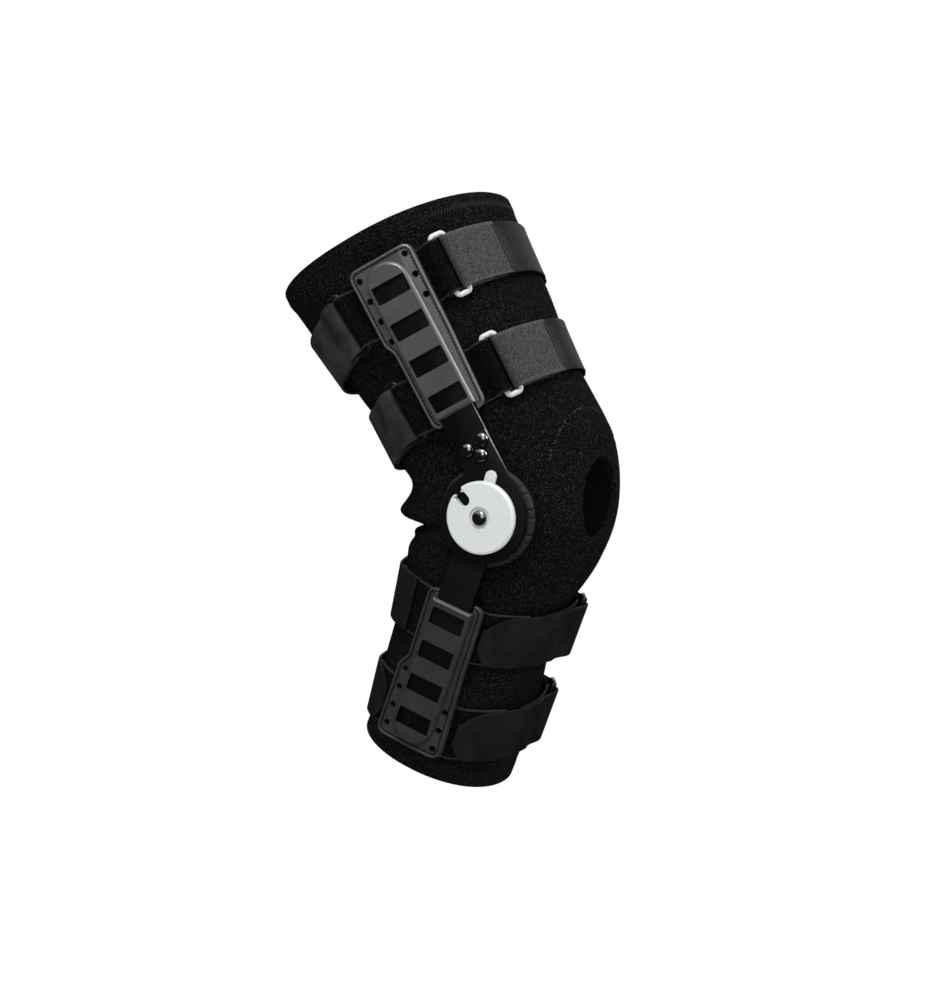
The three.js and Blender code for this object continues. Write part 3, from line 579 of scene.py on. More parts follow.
# %% The sleeve's skin
COLUMNS = 168
ROWS = 168
HEM = 10 * MM
PATELLA_STATION = 5 * MM
PATELLA_ANGLE = math.radians(75.5)
PATELLA_HALF = np.array([17, 28]) * MM
PATELLA_SEAM = 1.72
PATELLA_REACH = 30 * MM
FAR_AWAY = 9.0
NEAR_HOLE = 1.6
WAVE = 0.35
HEM_RISE = 0.55
CHANNEL_DEPTH, CHANNEL_WIDTH = 0.7, 0.035
LIP_RISE, LIP_WIDTH = 0.5, 0.07
SLEEVE_EDGE = 1.5 * MM
patella_middle = sleeve_point(PATELLA_STATION, PATELLA_ANGLE, 0)[0]
patella_out = (sleeve_point(PATELLA_STATION, PATELLA_ANGLE, MM)[0] - patella_middle) / MM
patella_across = unit(np.cross(patella_out, [0, 0, 1]))
patella_up = np.cross(patella_across, patella_out)


def grid(name, along, across):
    """A unit grid, with each point's place from 0 to 1 along it and across it."""
    bpy.ops.mesh.primitive_grid_add(x_subdivisions=along, y_subdivisions=across, size=1)
    obj = named(bpy.context.object, name)
    place = points_of(obj) + 0.5
    return obj, place[:, 0], place[:, 1]


def patella_place(points):
    """Places across and up in the kneecap hole's own ellipse, where its edge is at radius 1."""
    away = points - patella_middle
    ahead = away @ patella_out > -PATELLA_REACH
    flat = np.stack([away @ patella_across, away @ patella_up]) / PATELLA_HALF[:, None]
    return flat, np.where(ahead, np.linalg.norm(flat, axis=0), FAR_AWAY)


def ease(value, low, high):
    share = np.clip((value - low) / (high - low), 0, 1)
    return share * share * (3 - 2 * share)


def relief(station, angle, radius):
    """Soft unevenness of the worn cloth, its thick hems and the sewn channel round the kneecap."""
    across = np.sin(station / MM / 11 + 2 * np.sin(2 * angle))
    waves = WAVE * across * np.sin(3 * angle + station / MM / 23)
    from_rim = np.minimum(TOP - station, station - FOOT)
    hem = HEM_RISE * (1 - ease(from_rim, 0.7 * HEM, HEM))
    channel = -CHANNEL_DEPTH * np.exp(-(((radius - PATELLA_SEAM) / CHANNEL_WIDTH) ** 2))
    lip = LIP_RISE * np.exp(-(((radius - 1) / LIP_WIDTH) ** 2))
    return (waves + hem + channel + lip) * MM


sleeve, round_it, along_it = grid("plush_sleeve", COLUMNS, ROWS)
sleeve_angle = 2 * math.pi * round_it
sleeve_row = FOOT + along_it * (TOP - FOOT)
sleeve_station = sleeve_row + rim_shift(sleeve_row, sleeve_angle)
bare_skin = sleeve_point(sleeve_station, sleeve_angle, 0)
_, hole_radius = patella_place(bare_skin)
skin_height = relief(sleeve_row, sleeve_angle, hole_radius)
set_points(sleeve, sleeve_point(sleeve_station, sleeve_angle, skin_height))

# %% Cut the kneecap hole and give the wall its thickness
edit(sleeve, merge)
_, middle_radius = patella_place(of_faces(sleeve, "center"))
edit(sleeve, lambda: bpy.ops.mesh.select_all(action="DESELECT"))
sleeve.data.polygons.foreach_set("select", middle_radius < 1)
only(sleeve)
bpy.ops.object.mode_set(mode="EDIT")
bpy.ops.mesh.select_mode(type="FACE")
bpy.ops.mesh.delete(type="FACE")
bpy.ops.mesh.select_mode(type="VERT")
left_out = ("use_wire", "use_multi_face", "use_non_contiguous", "use_verts")
bpy.ops.mesh.select_non_manifold(extend=False, **dict.fromkeys(left_out, False))
bpy.ops.object.mode_set(mode="OBJECT")
at_edge = np.empty(len(sleeve.data.vertices), bool)
sleeve.data.vertices.foreach_get("select", at_edge)
skin = points_of(sleeve)
flat_place, skin_radius = patella_place(skin)
ragged = at_edge & (skin_radius < NEAR_HOLE)
pull = (1 / skin_radius[ragged] - 1) * flat_place[:, ragged] * PATELLA_HALF[:, None]
skin[ragged] += pull[0][:, None] * patella_across + pull[1][:, None] * patella_up
set_points(sleeve, skin)
edit(sleeve, face_out)
if (of_faces(sleeve, "normal")[:, 1] * of_faces(sleeve, "center")[:, 1]).sum() < 0:
    edit(sleeve, bpy.ops.mesh.flip_normals)
sleeve.data.materials.append(plush)
sleeve.data.materials.append(jersey)
modify(sleeve, "SOLIDIFY", thickness=WALL, offset=-1, material_offset=1)
modify(sleeve, "BEVEL", width=SLEEVE_EDGE, segments=3, limit_method="ANGLE", angle_limit=math.radians(55))
smooth(sleeve, 60)
hand_over(sleeve, "plush", "sleeve")
print("sleeve faces:", len(sleeve.data.polygons), "edge points drawn onto the hole:", int(ragged.sum()))

# %% [markdown]
# ## How a strap is laid
# A strap runs round the limb at one level. Its path is drawn on paper as two numbers, the arc along the
# sleeve's girth and the height over its skin, so a turn round a ring's bar is just a half circle there. The
# level then says where such a point lies on the limb, and how far the strap has climbed.

# %% One level of webbing
STRAP_WIDTH = 38 * MM
STRAP = 1.8 * MM
TAB = 1.6 * MM
TWILL = 1.4 * MM
STRAP_ENDS = (140, -146)
CLIMB_HOLD = 32
CLIMB_DONE = 190
UPRIGHT_TURN = 1.5
GIRTH_STEPS = 720


class Level:
    """Turns an arc along the girth, a place across the band and a height into a point."""

    def __init__(self, station, climb, climb_from, climb_to, dip=0, upright=False):
        self.station = station * MM
        self.dip = dip * MM
        self.upright = upright
        self.angles = np.linspace(0, 2 * math.pi, GIRTH_STEPS + 1)
        self.arcs = lengths_along(sleeve_point(self.station, self.angles, 0))
        self.climb = climb
        self.start = self.arc(climb_from)
        self.stop = self.arc(climb_to)
        self.hold = self.arc(climb_to + CLIMB_HOLD)
        self.done = self.arc(CLIMB_DONE)
        self.back_end = self.arc(STRAP_ENDS[1])

    def arc(self, degrees):
        turns = math.floor(degrees / 360)
        within = np.interp(math.radians(degrees - 360 * turns), self.angles, self.arcs)
        return turns * self.arcs[-1] + within

    def angle(self, arc):
        turns = np.floor(arc / self.arcs[-1])
        return 2 * math.pi * turns + np.interp(arc - turns * self.arcs[-1], self.arcs, self.angles)

    def rise(self, arc):
        climbed = np.clip(arc, self.start, self.stop) - max(0, self.start)
        held = np.clip((self.done - arc) / (self.done - self.hold), 0, 1)
        past_ring = np.clip((self.start - arc) / (self.start - self.back_end), 0, 1)
        return self.climb * climbed * held - self.dip * np.sin(math.pi * past_ring)

    def place(self, arc, across, height):
        arc, across, height = np.broadcast_arrays(*map(np.atleast_1d, (arc, across, height)))
        station = self.station + self.rise(arc)
        angle = self.angle(arc)
        rows = [station + side * STRAP_WIDTH / 2 for side in (0, -1, 1)]
        middle, low, high = [sleeve_point(row, angle, height) for row in rows]
        outward = (sleeve_point(station, angle, height + MM) - middle) / MM
        half_up = limb_frame(station)[2] * STRAP_WIDTH / 2
        hold = np.clip(0.5 + UPRIGHT_TURN * np.sin(angle), 0, 1)[:, None] * self.upright
        below = low + (middle - half_up - low) * hold
        above = high + (middle + half_up - high) * hold
        gaps = [middle - (below + above) / 2, low - below, high - above]
        needed = np.max([(gap * outward).sum(axis=1) for gap in gaps], axis=0)
        share = (0.5 + across / STRAP_WIDTH)[:, None]
        return below + (above - below) * share + outward * np.maximum(0, needed)[:, None]


# %% Paths of webbing
RING_HALF_LONG = 21.5 * MM
RING_HALF_WIDE = 4.75 * MM
RING_CORNER = 2.5 * MM
RING_WIRE = 1.9 * MM
RING_SLACK = 1 * MM
RING_HEIGHT = 5.6 * MM
SEAT = 0.9 * MM
CLEAR = 0.5 * MM
LEAVE = 3 * MM
RAMP = 15 * MM
TAB_RAMP = 9 * MM
SETTLE = 8 * MM
PATH_STEP = 1.6 * MM


def run(start, stop, low, high):
    """A run along the sleeve that eases from one height to another."""
    share = np.linspace(0, 1, max(3, int(abs(stop - start) / (3 * PATH_STEP)) + 2))
    return np.stack([start + (stop - start) * share, low + (high - low) * ease(share, 0, 1)], axis=1)


def wrap(arc, thick, toward):
    """Half a turn round a ring's bar, from under it to over it."""
    radius = RING_WIRE + RING_SLACK + thick / 2
    angle = np.linspace(-math.pi / 2, math.pi / 2, 9)
    return np.stack([arc + toward * radius * np.cos(angle), RING_HEIGHT + radius * np.sin(angle)], axis=1)


def over_bar(thick):
    return RING_HEIGHT + RING_WIRE + RING_SLACK + thick / 2


def under_bar(thick):
    return RING_HEIGHT - RING_WIRE - RING_SLACK - thick / 2


def rounded_path(*parts):
    """The parts end to end, corners cut twice, then spaced evenly. Returns places and lengths along."""
    path = np.concatenate([np.atleast_2d(part) for part in parts])
    for _ in range(2):
        near = 0.75 * path[:-1] + 0.25 * path[1:]
        far = 0.25 * path[:-1] + 0.75 * path[1:]
        between = np.stack([near, far], axis=1).reshape(-1, 2)
        path = np.concatenate([path[:1], between, path[-1:]])
    lengths = lengths_along(path)
    even = np.linspace(0, lengths[-1], int(lengths[-1] / PATH_STEP) + 2)
    return at_lengths(even, lengths, path), even


# %% A band of webbing
BAND_COLUMNS = 16
LIFT_RUN = 50 * MM
ROUND_TIP = 0.4
ROUND_LENGTHS = (11 * MM, 24 * MM)
CREASE = 0.45 * MM
CREASE_SPREAD = 9 * MM
BAND_EDGE = 0.4 * MM
WEBBING = {
    # thickness, slot, finish
    "tab": (TAB, "plush", tab_plush),
    "fold": (TWILL, "twill", twill),
    "strap": (STRAP, "strap", strap_cloth),
    # webbing painted paler, as painted light
    "painted_lit": (STRAP, "strap", painted_lit_strap),
}
bands = {}


def lay_band(
    node, level, kind, parts, lift=0, lift_from=0, round_start=False, curl=0, crease_at=None
):
    """Lays a grid along the path, maps its UV in metres and thickens it on both sides."""
    thick, slot, paint = WEBBING[kind]
    path, lengths = rounded_path(*parts)
    band, along, across = grid("cloth_" + node, len(path) - 1, BAND_COLUMNS)
    row = np.rint(along * (len(path) - 1)).astype(int)
    side = (across - 0.5) * STRAP_WIDTH
    if round_start:
        round_length = np.where(side > 0, ROUND_LENGTHS[1], ROUND_LENGTHS[0])
        inset = np.maximum(0, 1 - np.abs(path[row, 0] - path[0, 0]) / round_length)
        side *= np.maximum(ROUND_TIP, np.sqrt(1 - inset * inset))
    grown = np.clip(np.abs(path[row, 0] - lift_from) / LIFT_RUN, 0, 1)
    height = path[row, 1] + lift * grown * (1 - across) + curl * (2 * across - 1) ** 6
    if crease_at is not None:
        away = (lengths[row] - crease_at) / CREASE_SPREAD
        height += CREASE * np.exp(-away * away) * np.sin(math.pi * away * 1.7 + 1.5 * across)
    set_points(band, level.place(path[row, 0], side, height))
    corner = np.empty(len(band.data.loops), int)
    band.data.loops.foreach_get("vertex_index", corner)
    laid = np.stack([lengths[row], side], axis=1)[corner]
    band.data.uv_layers.active.data.foreach_set("uv", laid.ravel())
    modify(band, "SOLIDIFY", thickness=thick, offset=0)
    modify(band, "BEVEL", width=BAND_EDGE, segments=2, limit_method="ANGLE", angle_limit=math.radians(50))
    smooth(band, 50)
    hand_over(band, slot, node, paint=paint)
    bands[node] = (level, path, lengths[-1])
    return band


print("one band is", BAND_COLUMNS, "faces wide")

# %% [markdown]
# ## The thigh straps
# Both thigh levels are built alike. A plush tab lies under the shell and folds round a ring at each end.
# The pale front ring holds a twill fold with the front strap sewn into it, the black back ring holds the
# back strap, which turns back on itself.

# %% Thigh levels
TURN_BACK = 40 * MM
TAB_TURN_BACK = 6 * MM
FOLD_LENGTH = 35 * MM
FOLD_TUCK = 14 * MM
STRAP_CURL = 0.25 * MM
INNER_TAB = (128, 226)
on_tab = SEAT + TAB / 2
on_sleeve = SEAT + STRAP / 2
over_tab = SEAT + TAB + CLEAR + STRAP / 2
over_strap = on_sleeve + STRAP + CLEAR
in_fold = SEAT + TWILL + CLEAR + STRAP / 2
THIGH_ROWS = {
    # station, climb, front ring, back ring, lift, dip
    "thigh_upper": (154.5, 0.06, 37.5, -17, 2, 10),
    "thigh_lower": (83.5, 0, 38, -15.5, 1, 5),
}
ring_places = []
fold_ends = []
for name, (station, climb, front, back, lift, dip) in THIGH_ROWS.items():
    level = Level(station, climb, back, front, dip)
    front_ring, back_ring = level.arc(front), level.arc(back)
    ring_places.append(("front_ring_" + name, level, front_ring, "ring_white", ring_plastic))
    ring_places.append(("back_ring_" + name, level, back_ring, "gloss_black", ring_black))
    near_bar, far_bar = back_ring + RING_HALF_WIDE, front_ring - RING_HALF_WIDE
    tab_parts = [
        [near_bar + TAB_TURN_BACK, under_bar(TAB)],
        wrap(near_bar, TAB, -1),
        run(near_bar + LEAVE, near_bar + TAB_RAMP, over_bar(TAB), on_tab),
        run(near_bar + TAB_RAMP + SETTLE, far_bar - TAB_RAMP - SETTLE, on_tab, on_tab),
        run(far_bar - TAB_RAMP, far_bar - LEAVE, on_tab, over_bar(TAB)),
        wrap(far_bar, TAB, 1)[::-1],
        [far_bar - TAB_TURN_BACK, under_bar(TAB)],
    ]
    lay_band("outer_tab_" + name, level, "tab", tab_parts)

    twill_bar = front_ring + RING_HALF_WIDE
    fold_end = twill_bar + FOLD_LENGTH
    seam_low = SEAT + TWILL / 2
    seam_high = in_fold + STRAP / 2 + CLEAR + TWILL / 2
    fold_parts = [
        run(fold_end - LEAVE, twill_bar + LEAVE, seam_low, under_bar(TWILL)),
        wrap(twill_bar, TWILL, -1),
        run(twill_bar + LEAVE, fold_end, over_bar(TWILL), seam_high),
    ]
    lay_band("fold_" + name, level, "fold", fold_parts)
    fold_ends.append((level, fold_end, in_fold + STRAP / 2))

    tab_edge = level.arc(INNER_TAB[0])
    front_parts = [
        run(fold_end - FOLD_TUCK, fold_end + LEAVE, in_fold, in_fold),
        run(fold_end + LEAVE + SETTLE, tab_edge - RAMP - SETTLE, in_fold, on_sleeve),
        run(tab_edge - RAMP, tab_edge - LEAVE, on_sleeve, over_tab),
        run(tab_edge + LEAVE, level.arc(STRAP_ENDS[0]), over_tab, over_tab),
    ]
    lay_band("front_strap_" + name, level, "strap", front_parts, curl=STRAP_CURL)

    back_bar = back_ring - RING_HALF_WIDE
    back_parts = [
        run(back_bar - TURN_BACK, back_bar - LEAVE, on_sleeve, under_bar(STRAP)),
        wrap(back_bar, STRAP, 1),
        run(back_bar - LEAVE, back_bar - RAMP, over_bar(STRAP), over_strap),
        run(back_bar - RAMP - SETTLE, level.arc(STRAP_ENDS[1]), over_strap, over_tab),
    ]
    # The thigh back straps take the paler webbing, painted light.
    lay_band("back_strap_" + name, level, "painted_lit", back_parts, lift=lift * MM, lift_from=back_bar)

    inner_parts = [run(tab_edge, level.arc(INNER_TAB[1]), on_tab, on_tab)]
    lay_band("inner_tab_" + name, level, "tab", inner_parts)
print("thigh bands:", len(bands))

# %% [markdown]
# ## The calf straps
# The calf straps climb toward the front, where each turns round a black ring and comes back under itself.
# Their free ends are rounded and stop on the plush tab under the lower shell.

# %% Calf levels
OUTER_CALF_TAB = (56, -58)
CALF_ROWS = {
    # station, climb, front end, back end, ring, rounded back end
    "calf_upper": (-78, 0.2, 23, -30, 115, False),
    "calf_lower": (-148, 0.26, 25, -31, 118, True),
}
RING_TURN = 9
CREASE_BEFORE = 8 * MM
for name, (station, climb, front, back, ring, round_back) in CALF_ROWS.items():
    level = Level(station, climb, front, ring - RING_TURN, upright=True)
    ring_arc = level.arc(ring)
    ring_places.append(("ring_" + name, level, ring_arc, "gloss_black", ring_black))
    tab_back, tab_front = level.arc(OUTER_CALF_TAB[1]), level.arc(OUTER_CALF_TAB[0])
    outer_parts = [run(tab_back, tab_front, on_tab, on_tab)]
    lay_band("outer_tab_" + name, level, "tab", outer_parts)

    bar = ring_arc - RING_HALF_WIDE
    on_leg = max(over_tab, over_strap)
    front_parts = [
        run(level.arc(front), bar - RAMP - SETTLE, on_leg, on_leg),
        run(bar - RAMP, bar - LEAVE, on_leg, over_bar(STRAP)),
        wrap(bar, STRAP, 1)[::-1],
        run(bar - LEAVE, bar - TURN_BACK, under_bar(STRAP), on_sleeve),
    ]
    crease_at = bar - RAMP - level.arc(front) - CREASE_BEFORE
    lay_band("front_strap_" + name, level, "strap", front_parts, round_start=True, crease_at=crease_at)

    inner_edge = level.arc(INNER_TAB[1] - 360)
    back_parts = [
        run(level.arc(back), tab_back + SETTLE, over_tab, over_tab),
        run(tab_back, tab_back - RAMP, over_tab, on_sleeve),
        run(tab_back - RAMP - SETTLE, inner_edge + RAMP + SETTLE, on_sleeve, on_sleeve),
        run(inner_edge + RAMP, inner_edge + LEAVE, on_sleeve, over_tab),
        run(inner_edge - LEAVE, level.arc(STRAP_ENDS[1]), over_tab, over_tab),
    ]
    lay_band("back_strap_" + name, level, "strap", back_parts, round_start=round_back)

    inner_bar = ring_arc + RING_HALF_WIDE
    inner_parts = [
        [inner_bar + TAB_TURN_BACK, under_bar(TAB)],
        wrap(inner_bar, TAB, -1),
        run(inner_bar + LEAVE, inner_bar + RAMP, over_bar(TAB), on_tab),
        run(inner_bar + RAMP + SETTLE, level.arc(INNER_TAB[1]), on_tab, on_tab),
    ]
    lay_band("inner_tab_" + name, level, "tab", inner_parts)
print("all bands:", len(bands))

# %% [markdown]
# ## The rings
# A ring is a torus whose four quarters are moved apart into a rounded rectangle. It is modelled once and
# copied to the six places where straps turn.

# %% One ring, six times
RING_STEPS = 40
bpy.ops.mesh.primitive_torus_add(
    major_radius=RING_CORNER, minor_radius=RING_WIRE, major_segments=RING_STEPS, minor_segments=16
)
ring_model = named(bpy.context.object, "ring_model")
half_step = Matrix.Rotation(math.pi / RING_STEPS, 3, "Z")
spread = points_of(ring_model) @ np.array(half_step).T
spread[:, 0] += np.sign(spread[:, 0]) * (RING_HALF_LONG - RING_CORNER)
spread[:, 1] += np.sign(spread[:, 1]) * (RING_HALF_WIDE - RING_CORNER)
set_points(ring_model, spread)
smooth(ring_model, 60)
for node, level, arc, slot, paint in ring_places:
    low, high = level.place(arc, np.array([-1, 1]) * RING_HALF_LONG, RING_HEIGHT)
    before, after = level.place(arc + np.array([-1, 1]) * RING_HALF_WIDE, 0, RING_HEIGHT)
    lengthwise = unit(high - low)
    over = unit(np.cross(after - before, lengthwise))
    crosswise = np.cross(lengthwise, over)
    ring = copy_of(ring_model, "wire_" + node)
    set_points(ring, (before + after) / 2 + spread @ np.stack([lengthwise, -crosswise, over]))
    edit(ring, face_out)
    hand_over(ring, slot, node, paint=paint)
clear_away(ring_model)
print("rings:", len(ring_places))

# %% [markdown]
# ## Tools for the moulded parts
# The hard parts are drawn flat, with X across, Y along and Z outward from the leg, because extruding and
# insetting a flat outline is simple there. A matrix then stands each part up at the hinge. Parts of a
# splint also turn with the limb and lean with the bend of their bar.

# %% Outlines, prisms and placing
HINGE_FACE = Matrix.Rotation(math.pi / 2, 4, "X")
CORNER_LIMIT = 0.47
WIDE_FACE = 12 * MM * MM


def arc_points(centre, radius, angles):
    return np.array(centre) + radius * np.stack([np.cos(angles), np.sin(angles)], axis=1)


def rounded_outline(corners, radius, steps=6):
    """A closed outline, anticlockwise, with an arc in each corner."""
    corners = [np.array(corner, float) for corner in corners]
    points = []
    for i, corner in enumerate(corners):
        sides = [corners[i - 1] - corner, corners[(i + 1) % len(corners)] - corner]
        lengths = [np.linalg.norm(side) for side in sides]
        first, second = sides[0] / lengths[0], sides[1] / lengths[1]
        half = math.acos(np.clip(first @ second, -1, 1)) / 2
        cut = min(radius / math.tan(half), CORNER_LIMIT * min(lengths))
        middle = first + second
        centre = corner + unit(middle) * cut / math.cos(half)
        start = np.arctan2(*(corner + first * cut - centre)[::-1])
        stop = np.arctan2(*(corner + second * cut - centre)[::-1])
        sweep = (stop - start + math.pi) % (2 * math.pi) - math.pi
        angles = start + sweep * np.linspace(0, 1, steps)
        points.append(arc_points(centre, cut * math.tan(half), angles))
    return np.concatenate(points)


def flat_face(name, outline, height=0.0):
    """A flat face with that outline, looking outward."""
    bpy.ops.mesh.primitive_circle_add(vertices=len(outline), radius=1, fill_type="NGON")
    face = named(bpy.context.object, name)
    set_points(face, np.column_stack([outline, np.full(len(outline), height)]))
    if face.data.polygons[0].normal.z < 0:
        edit(face, bpy.ops.mesh.flip_normals)
    return face


def raised(face, rise, profile=()):
    """Extrudes the face outward, then insets its top by each (inward, outward) step."""
    edit(
        face,
        lambda: bpy.ops.mesh.extrude_region_move(TRANSFORM_OT_translate={"value": (0, 0, rise)}),
        *[lambda step=step: bpy.ops.mesh.inset(thickness=step[0], depth=step[1]) for step in profile],
    )
    return edit(face, face_out)


# %% Joining, softening and mirroring
def join_cut(obj, operation, *others):
    """Unites the object with the others, or cuts them out of it, and clears them away."""
    for other in others:
        modify(obj, "BOOLEAN", operation=operation, object=other, solver="EXACT")
        clear_away(other)
    return obj


def soften(obj, width, segments=2, degrees=35):
    """Rounds the sharp edges a little and shades the rest smooth."""
    rounding = {"limit_method": "ANGLE", "angle_limit": math.radians(degrees)}
    modify(obj, "BEVEL", width=width, segments=segments, **rounding)
    return smooth(obj, degrees)


def keep_flat(obj):
    """Marks the edges round wide faces sharp, so that their flat tops shade evenly."""
    wide = {key for face in obj.data.polygons if face.area > WIDE_FACE for key in face.edge_keys}
    for edge in obj.data.edges:
        edge.use_edge_sharp = edge.use_edge_sharp or edge.key in wide
    return obj


def to_inner_side(obj):
    obj.data.transform(Matrix.Scale(-1, 4, (0, 1, 0)))
    return edit(obj, bpy.ops.mesh.flip_normals)


# %% A row of stitches
def sew(name, starts, ends, outs, radius, paint, slot, nested=0.6):
    """A row of stitches: one small bead is modelled and laid between each pair of points."""
    bpy.ops.mesh.primitive_uv_sphere_add(segments=8, ring_count=5, radius=1)
    bead = bpy.context.object
    shape = points_of(bead)
    faces = [tuple(face.vertices) for face in bead.data.polygons]
    clear_away(bead)
    runs = ends - starts
    halves = np.linalg.norm(runs, axis=1) / 2
    ahead = runs / (2 * halves[:, None])
    sides = unit(np.cross(ahead, outs))
    over = np.cross(sides, ahead)
    middles = (starts + ends) / 2
    points = (
        middles[:, None]
        + shape[None, :, 2:3] * (halves[:, None, None] + 0.4 * radius) * ahead[:, None]
        + shape[None, :, 0:1] * radius * sides[:, None]
        + shape[None, :, 1:2] * radius * nested * over[:, None]
    )
    count = len(shape)
    mesh = bpy.data.meshes.new(name)
    mesh.from_pydata(
        points.reshape(-1, 3).tolist(),
        [],
        [tuple(corner + count * i for corner in face) for i in range(len(middles)) for face in faces],
    )
    row = bpy.data.objects.new(name, mesh)
    scene.collection.objects.link(row)
    edit(row, face_out)
    smooth(row, 80)
    return hand_over(row, slot, paint=paint)


print("tools for hard parts ready")

# %% [markdown]
# ## Seams and stitches
# Thread is laid last on the cloth. A zigzag holds both hems, two rows close the sleeve along its front, and
# each twill fold ends in a seam with a row of short tacks beside it. Over the kneecap a row of paler plush
# dabs, with gaps, shows where a pad is sewn in; their paler colour is painted highlight on the seam's ridge.


# %% Rows of thread
def on_skin(row, angle):
    """Points on the sleeve's finished skin, with their outward directions."""
    row, angle = np.broadcast_arrays(row, angle)
    station = row + rim_shift(row, angle)
    height = relief(row, angle, patella_place(sleeve_point(station, angle, 0))[1])
    points = sleeve_point(station, angle, height)
    return points, (sleeve_point(station, angle, height + MM) - points) / MM


def dashes(points, outs, step, share):
    """Even dashes along a row of points, each as long as a share of its step."""
    lengths = lengths_along(points)
    begin = np.arange(0, lengths[-1] - step, step)
    rows = ((begin, points), (begin + share * step, points), (begin, outs))
    return [at_lengths(places, lengths, table) for places, table in rows]


ZIGZAG_PITCH = 2.3 * MM
ZIGZAG_ROWS = (5.4 * MM, 9.4 * MM)
ZIGZAG_THREAD = 0.28 * MM
full_turn = np.linspace(0, 2 * math.pi, 721)
for name, rim, inward, paint in (("top", TOP, -1, hem_thread), ("foot", FOOT, 1, foot_thread)):
    rim_points, _ = on_skin(rim + 0 * full_turn, full_turn)
    rim_lengths = lengths_along(rim_points)
    count = 2 * int(rim_lengths[-1] / ZIGZAG_PITCH)
    angles = np.interp(np.linspace(0, rim_lengths[-1], count + 1), rim_lengths, full_turn)
    rows = rim + inward * np.where(np.arange(count + 1) % 2, *ZIGZAG_ROWS)
    points, outs = on_skin(rows, angles)
    sew("hem_zigzag_" + name, points[:-1], points[1:], outs[:-1], ZIGZAG_THREAD, paint, "plush")

DAB_RADIUS = 1.2 * MM
DAB_STEP = 3.1 * MM
DAB_RISE = 39.5 * MM
DAB_SPAN = math.radians(42)
turn = np.radians(np.linspace(30, 150, 60))
wander = 0.35 * MM * np.sin(47 * turn) * np.sin(19 * turn)
pad_rows = PATELLA_STATION + wander + DAB_RISE * np.sin(turn)
pad_row = on_skin(pad_rows, PATELLA_ANGLE - DAB_SPAN * np.cos(turn))
dabs = dashes(*pad_row, DAB_STEP, 0.85)
dab_gaps = np.sin(2.7 * np.arange(len(dabs[0]))) > 0.55
dabs = [spots[~dab_gaps] for spots in dabs]
# The dabs are paler plush: painted highlight along the seam's ridge.
sew("kneecap_pad_seam", *dabs, DAB_RADIUS, seam_highlight_plush, "plush", 0.3)

FRONT_THREAD = 0.34 * MM
FRONT_STITCH = 2.8 * MM
front_rows = np.linspace(64, 186, 60) * MM
for i, angle in enumerate(np.radians([105.5, 108.5])):
    front_row = on_skin(front_rows, angle)
    stitches = dashes(*front_row, FRONT_STITCH, 0.65)
    sew(f"front_seam_{i + 1}", *stitches, FRONT_THREAD, hem_thread, "plush")

# %% Seams of the twill folds
TACK_SIDES = np.arange(-17.6, 17.7, 1.9) * MM
TACK_ENDS = (0.8, 7.5)
TACK_RADIUS = 0.3 * MM
SEAM_SIDES = np.linspace(-18.2, 18.2, 60) * MM
SEAM_BEFORE = 1.5 * MM
SEAM_STITCH = 2.2 * MM
SEAM_RADIUS = 0.5 * MM


def outward_of(level, arc, sides, height):
    """Places on a band, and the direction away from the sleeve at each."""
    places = level.place(arc, sides, height)
    return places, (level.place(arc, sides, height + MM) - places) / MM


for name, (level, fold_end, height) in zip(THIGH_ROWS, fold_ends):
    spots = [level.place(fold_end + along * MM, TACK_SIDES, height) for along in TACK_ENDS]
    _, outs = outward_of(level, fold_end, TACK_SIDES, height)
    sew("tacks_" + name, *spots, outs, TACK_RADIUS, tack_thread, "strap")
    on_fold = height + CLEAR + TWILL + 0.4 * MM
    seam = outward_of(level, fold_end - SEAM_BEFORE, SEAM_SIDES, on_fold)
    stitches = dashes(*seam, SEAM_STITCH, 0.85)
    sew("fold_seam_" + name, *stitches, SEAM_RADIUS, black_thread, "twill")

# %% [markdown]
# ## The shells
# Each shell is a thin panel with a rounded bead round its edge, a sewn groove inside the bead, sloping
# flanges and a raised housing for the bar. Windows in the housing show the bar, and round holes run along
# the flanges. The lower shell is drawn the same way round and turned with its splint.

# %% Sizes of the splints
PLATE_THICK = 2 * MM
UNDERSIDE = -4.1 * MM
PANEL_TOP = -1.1 * MM
BOSS_TOP = 3.5 * MM
BOSS_HALF = 15.5 * MM
BOSS_FOOT = 1 * MM
FLANGE_SLOPE = math.tan(math.radians(8))
SHELL_CORNER = 6 * MM
WINDOW_HALF = (12.8 * MM, 6.25 * MM)
WINDOW_CORNER = 1.2 * MM
WINDOW_DEPTH = 9 * MM
HOLE_RADIUS = 2.3 * MM
HOLE_DEPTH = 24 * MM
TUNNEL_HALF = 13
MOUTH_HALF = 14
BEAD = [(0.3, 0.32), (0.45, 0.2), (0.5, 0.02), (0.45, -0.2)]
GROOVE = [(0.35, -0.9), (1, 0), (0.35, 0.5)]
BEAD_PROFILE = np.array(BEAD + GROOVE)
BOSS_PROFILE = np.array([(0.9, 1.2), (0.7, 0.6), (0.5, 0.12)])
SEAM_INSET = 2.55 * MM
SEAM_HEIGHT = -1.45 * MM
PANEL_RISE = 1.9 * MM
SPLINTS = {
    "upper": {
        "turn": UPPER_TURN, "plate": 64, "offset": 15.5, "bend": 52, "lean": 7.6, "facing": 6, "flip": 1,
        "bar_end": 175, "boss_start": 71, "boss_end": 182,
        "outline": [(66, -20.5, 20.5), (124, -20.5, 23), (132, -24.5, 23.2), (186, -24, 24.8)],
        "windows": (82, 27),
        "holes": [(19, 149.2, 15.2, 3), (-18, 132.6, 15.1, 4)],
    },
    "lower": {
        "turn": 201, "plate": 61.6, "offset": 0, "bend": 40, "lean": -2.7, "facing": 0, "flip": -1,
        "bar_end": 162, "boss_start": 65, "boss_end": 169,
        "outline": [(59.5, -22, 21), (112, -21, 22), (119, -26, 22.5), (172, -26, 25)],
        "windows": (76.6, 25.1),
        "holes": [(18.5, 138, 13.7, 3), (-19.5, 121.7, 13.7, 4)],
    },
}


